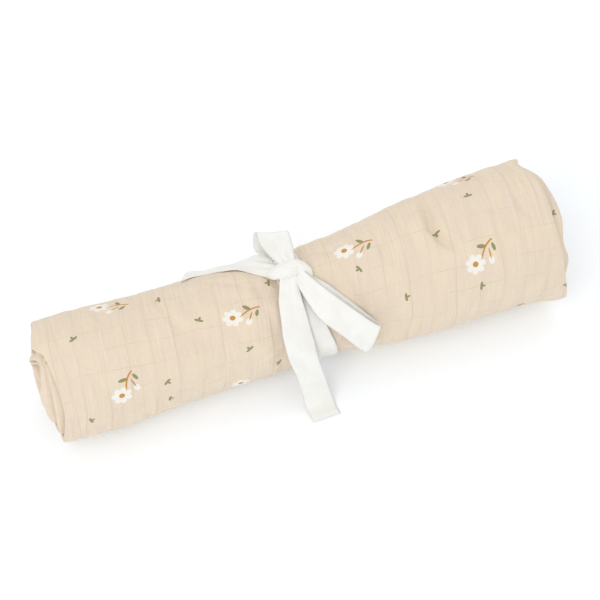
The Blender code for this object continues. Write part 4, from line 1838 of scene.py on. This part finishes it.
@dataclass(frozen=True)
class Studio:
    """The camera at the photo's angle, a white floor and soft light."""

    azimuth: float = math.radians(-19.79)
    elevation: float = math.radians(56.0)
    field_of_view: float = math.radians(20.0)
    distance: float = 1.00692
    target: Spot = (0.00464, 0.00677, 0.03)
    far: float = 20.0
    floor_side: float = 6.0
    floor_drop: float = 0.0002
    floor_roughness: float = 0.9
    floor_colour: Colour = (0.905, 0.93, 0.955)
    glow_colour: Colour = (0.88, 0.94, 1.0)
    floor_glow: float = 0.13
    sky: Colour = (1.0, 1.0, 1.0)
    sky_strength: float = 0.85
    lights: tuple[SoftLight, ...] = (
        SoftLight("key", (-0.85, -0.75, 1.35), (0.0, 0.0, 0.03), 1.0, 7.0),
        SoftLight("back", (0.4, 0.6, 1.5), (0.0, 0.0, 0.03), 1.2, 2.0),
    )

    def camera(self, offset: Array) -> None:
        """Place the camera: its target plus its distance along the given direction.

        Args:
            offset: move from the roll's own coordinates to the frame.
        """
        back = Vector((math.sin(self.azimuth) * math.cos(self.elevation),
                       -math.cos(self.azimuth) * math.cos(self.elevation),
                       math.sin(self.elevation)))
        data = bpy.data.cameras.new("camera")
        data.lens_unit = "FOV"
        data.angle = self.field_of_view
        data.clip_end = self.far
        camera = bpy.data.objects.new("camera", data)
        camera.location = Vector(self.target) + Vector(offset) + back * self.distance
        camera.rotation_euler = back.to_track_quat("Z", "Y").to_euler()
        bpy.context.scene.collection.objects.link(camera)
        bpy.context.scene.camera = camera

    def floor(self) -> None:
        """A large pale plane just under the roll, with a faint glow of its own that makes it white."""
        corners = np.array([(x, y, 0.0) for x, y in ((-1, -1), (1, -1), (1, 1), (-1, 1))])
        corners = corners * self.floor_side / 2 - (0.0, 0.0, self.floor_drop)
        floor = new_piece("floor", corners, [[0, 1, 2, 3]])
        n = NodeTree("floor")
        n.finish(self.floor_colour, self.floor_roughness)
        n.feed(n.shader.inputs["Emission Color"], self.glow_colour)
        n.feed(n.shader.inputs["Emission Strength"], self.floor_glow)
        floor.data.materials.append(n.material)

    def light(self) -> None:
        """The even light of the sky and the area lights."""
        world = bpy.data.worlds.new("sky")
        world.use_nodes = True
        background = world.node_tree.nodes["Background"]
        background.inputs["Color"].default_value = (*self.sky, 1.0)
        background.inputs["Strength"].default_value = self.sky_strength
        bpy.context.scene.world = world
        for light in self.lights:
            light.build()
        bpy.context.scene.view_settings.view_transform = "Standard"


def main() -> None:
    """Build the blanket and its tie, dress them and set the scene."""
    logging.basicConfig(level=logging.INFO, format="%(name)s: %(message)s")
    form = RollForm()
    studio = Studio()
    studio.camera(form.offset)
    muslin, ribbon = MuslinFinish().material(), RibbonFinish().material()

    relief = ClothRelief(form)
    roll = MuslinRoll(form, relief)
    blanket = roll.build()
    dress(blanket, muslin)

    tie = RibbonTie(form, relief)
    band = tie.build_band()
    dress(band, ribbon)
    knot = tie.build_knot()
    dress(knot, ribbon)
    for run in RUNS:
        piece = tie.build_run(run)
        dress(piece, ribbon)

    studio.floor()
    studio.light()


def dress(piece: bpy.types.Object, material: bpy.types.Material) -> None:
    """Give a piece its material and its body, and report it.

    Args:
        piece: the finished object.
        material: its finish.
    """
    piece.data.materials.append(material)
    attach(piece, BODY)
    log.info("%s: %d vertices, %d faces", piece.name, len(piece.data.vertices), len(piece.data.polygons))


if __name__ == "__main__":
    main()
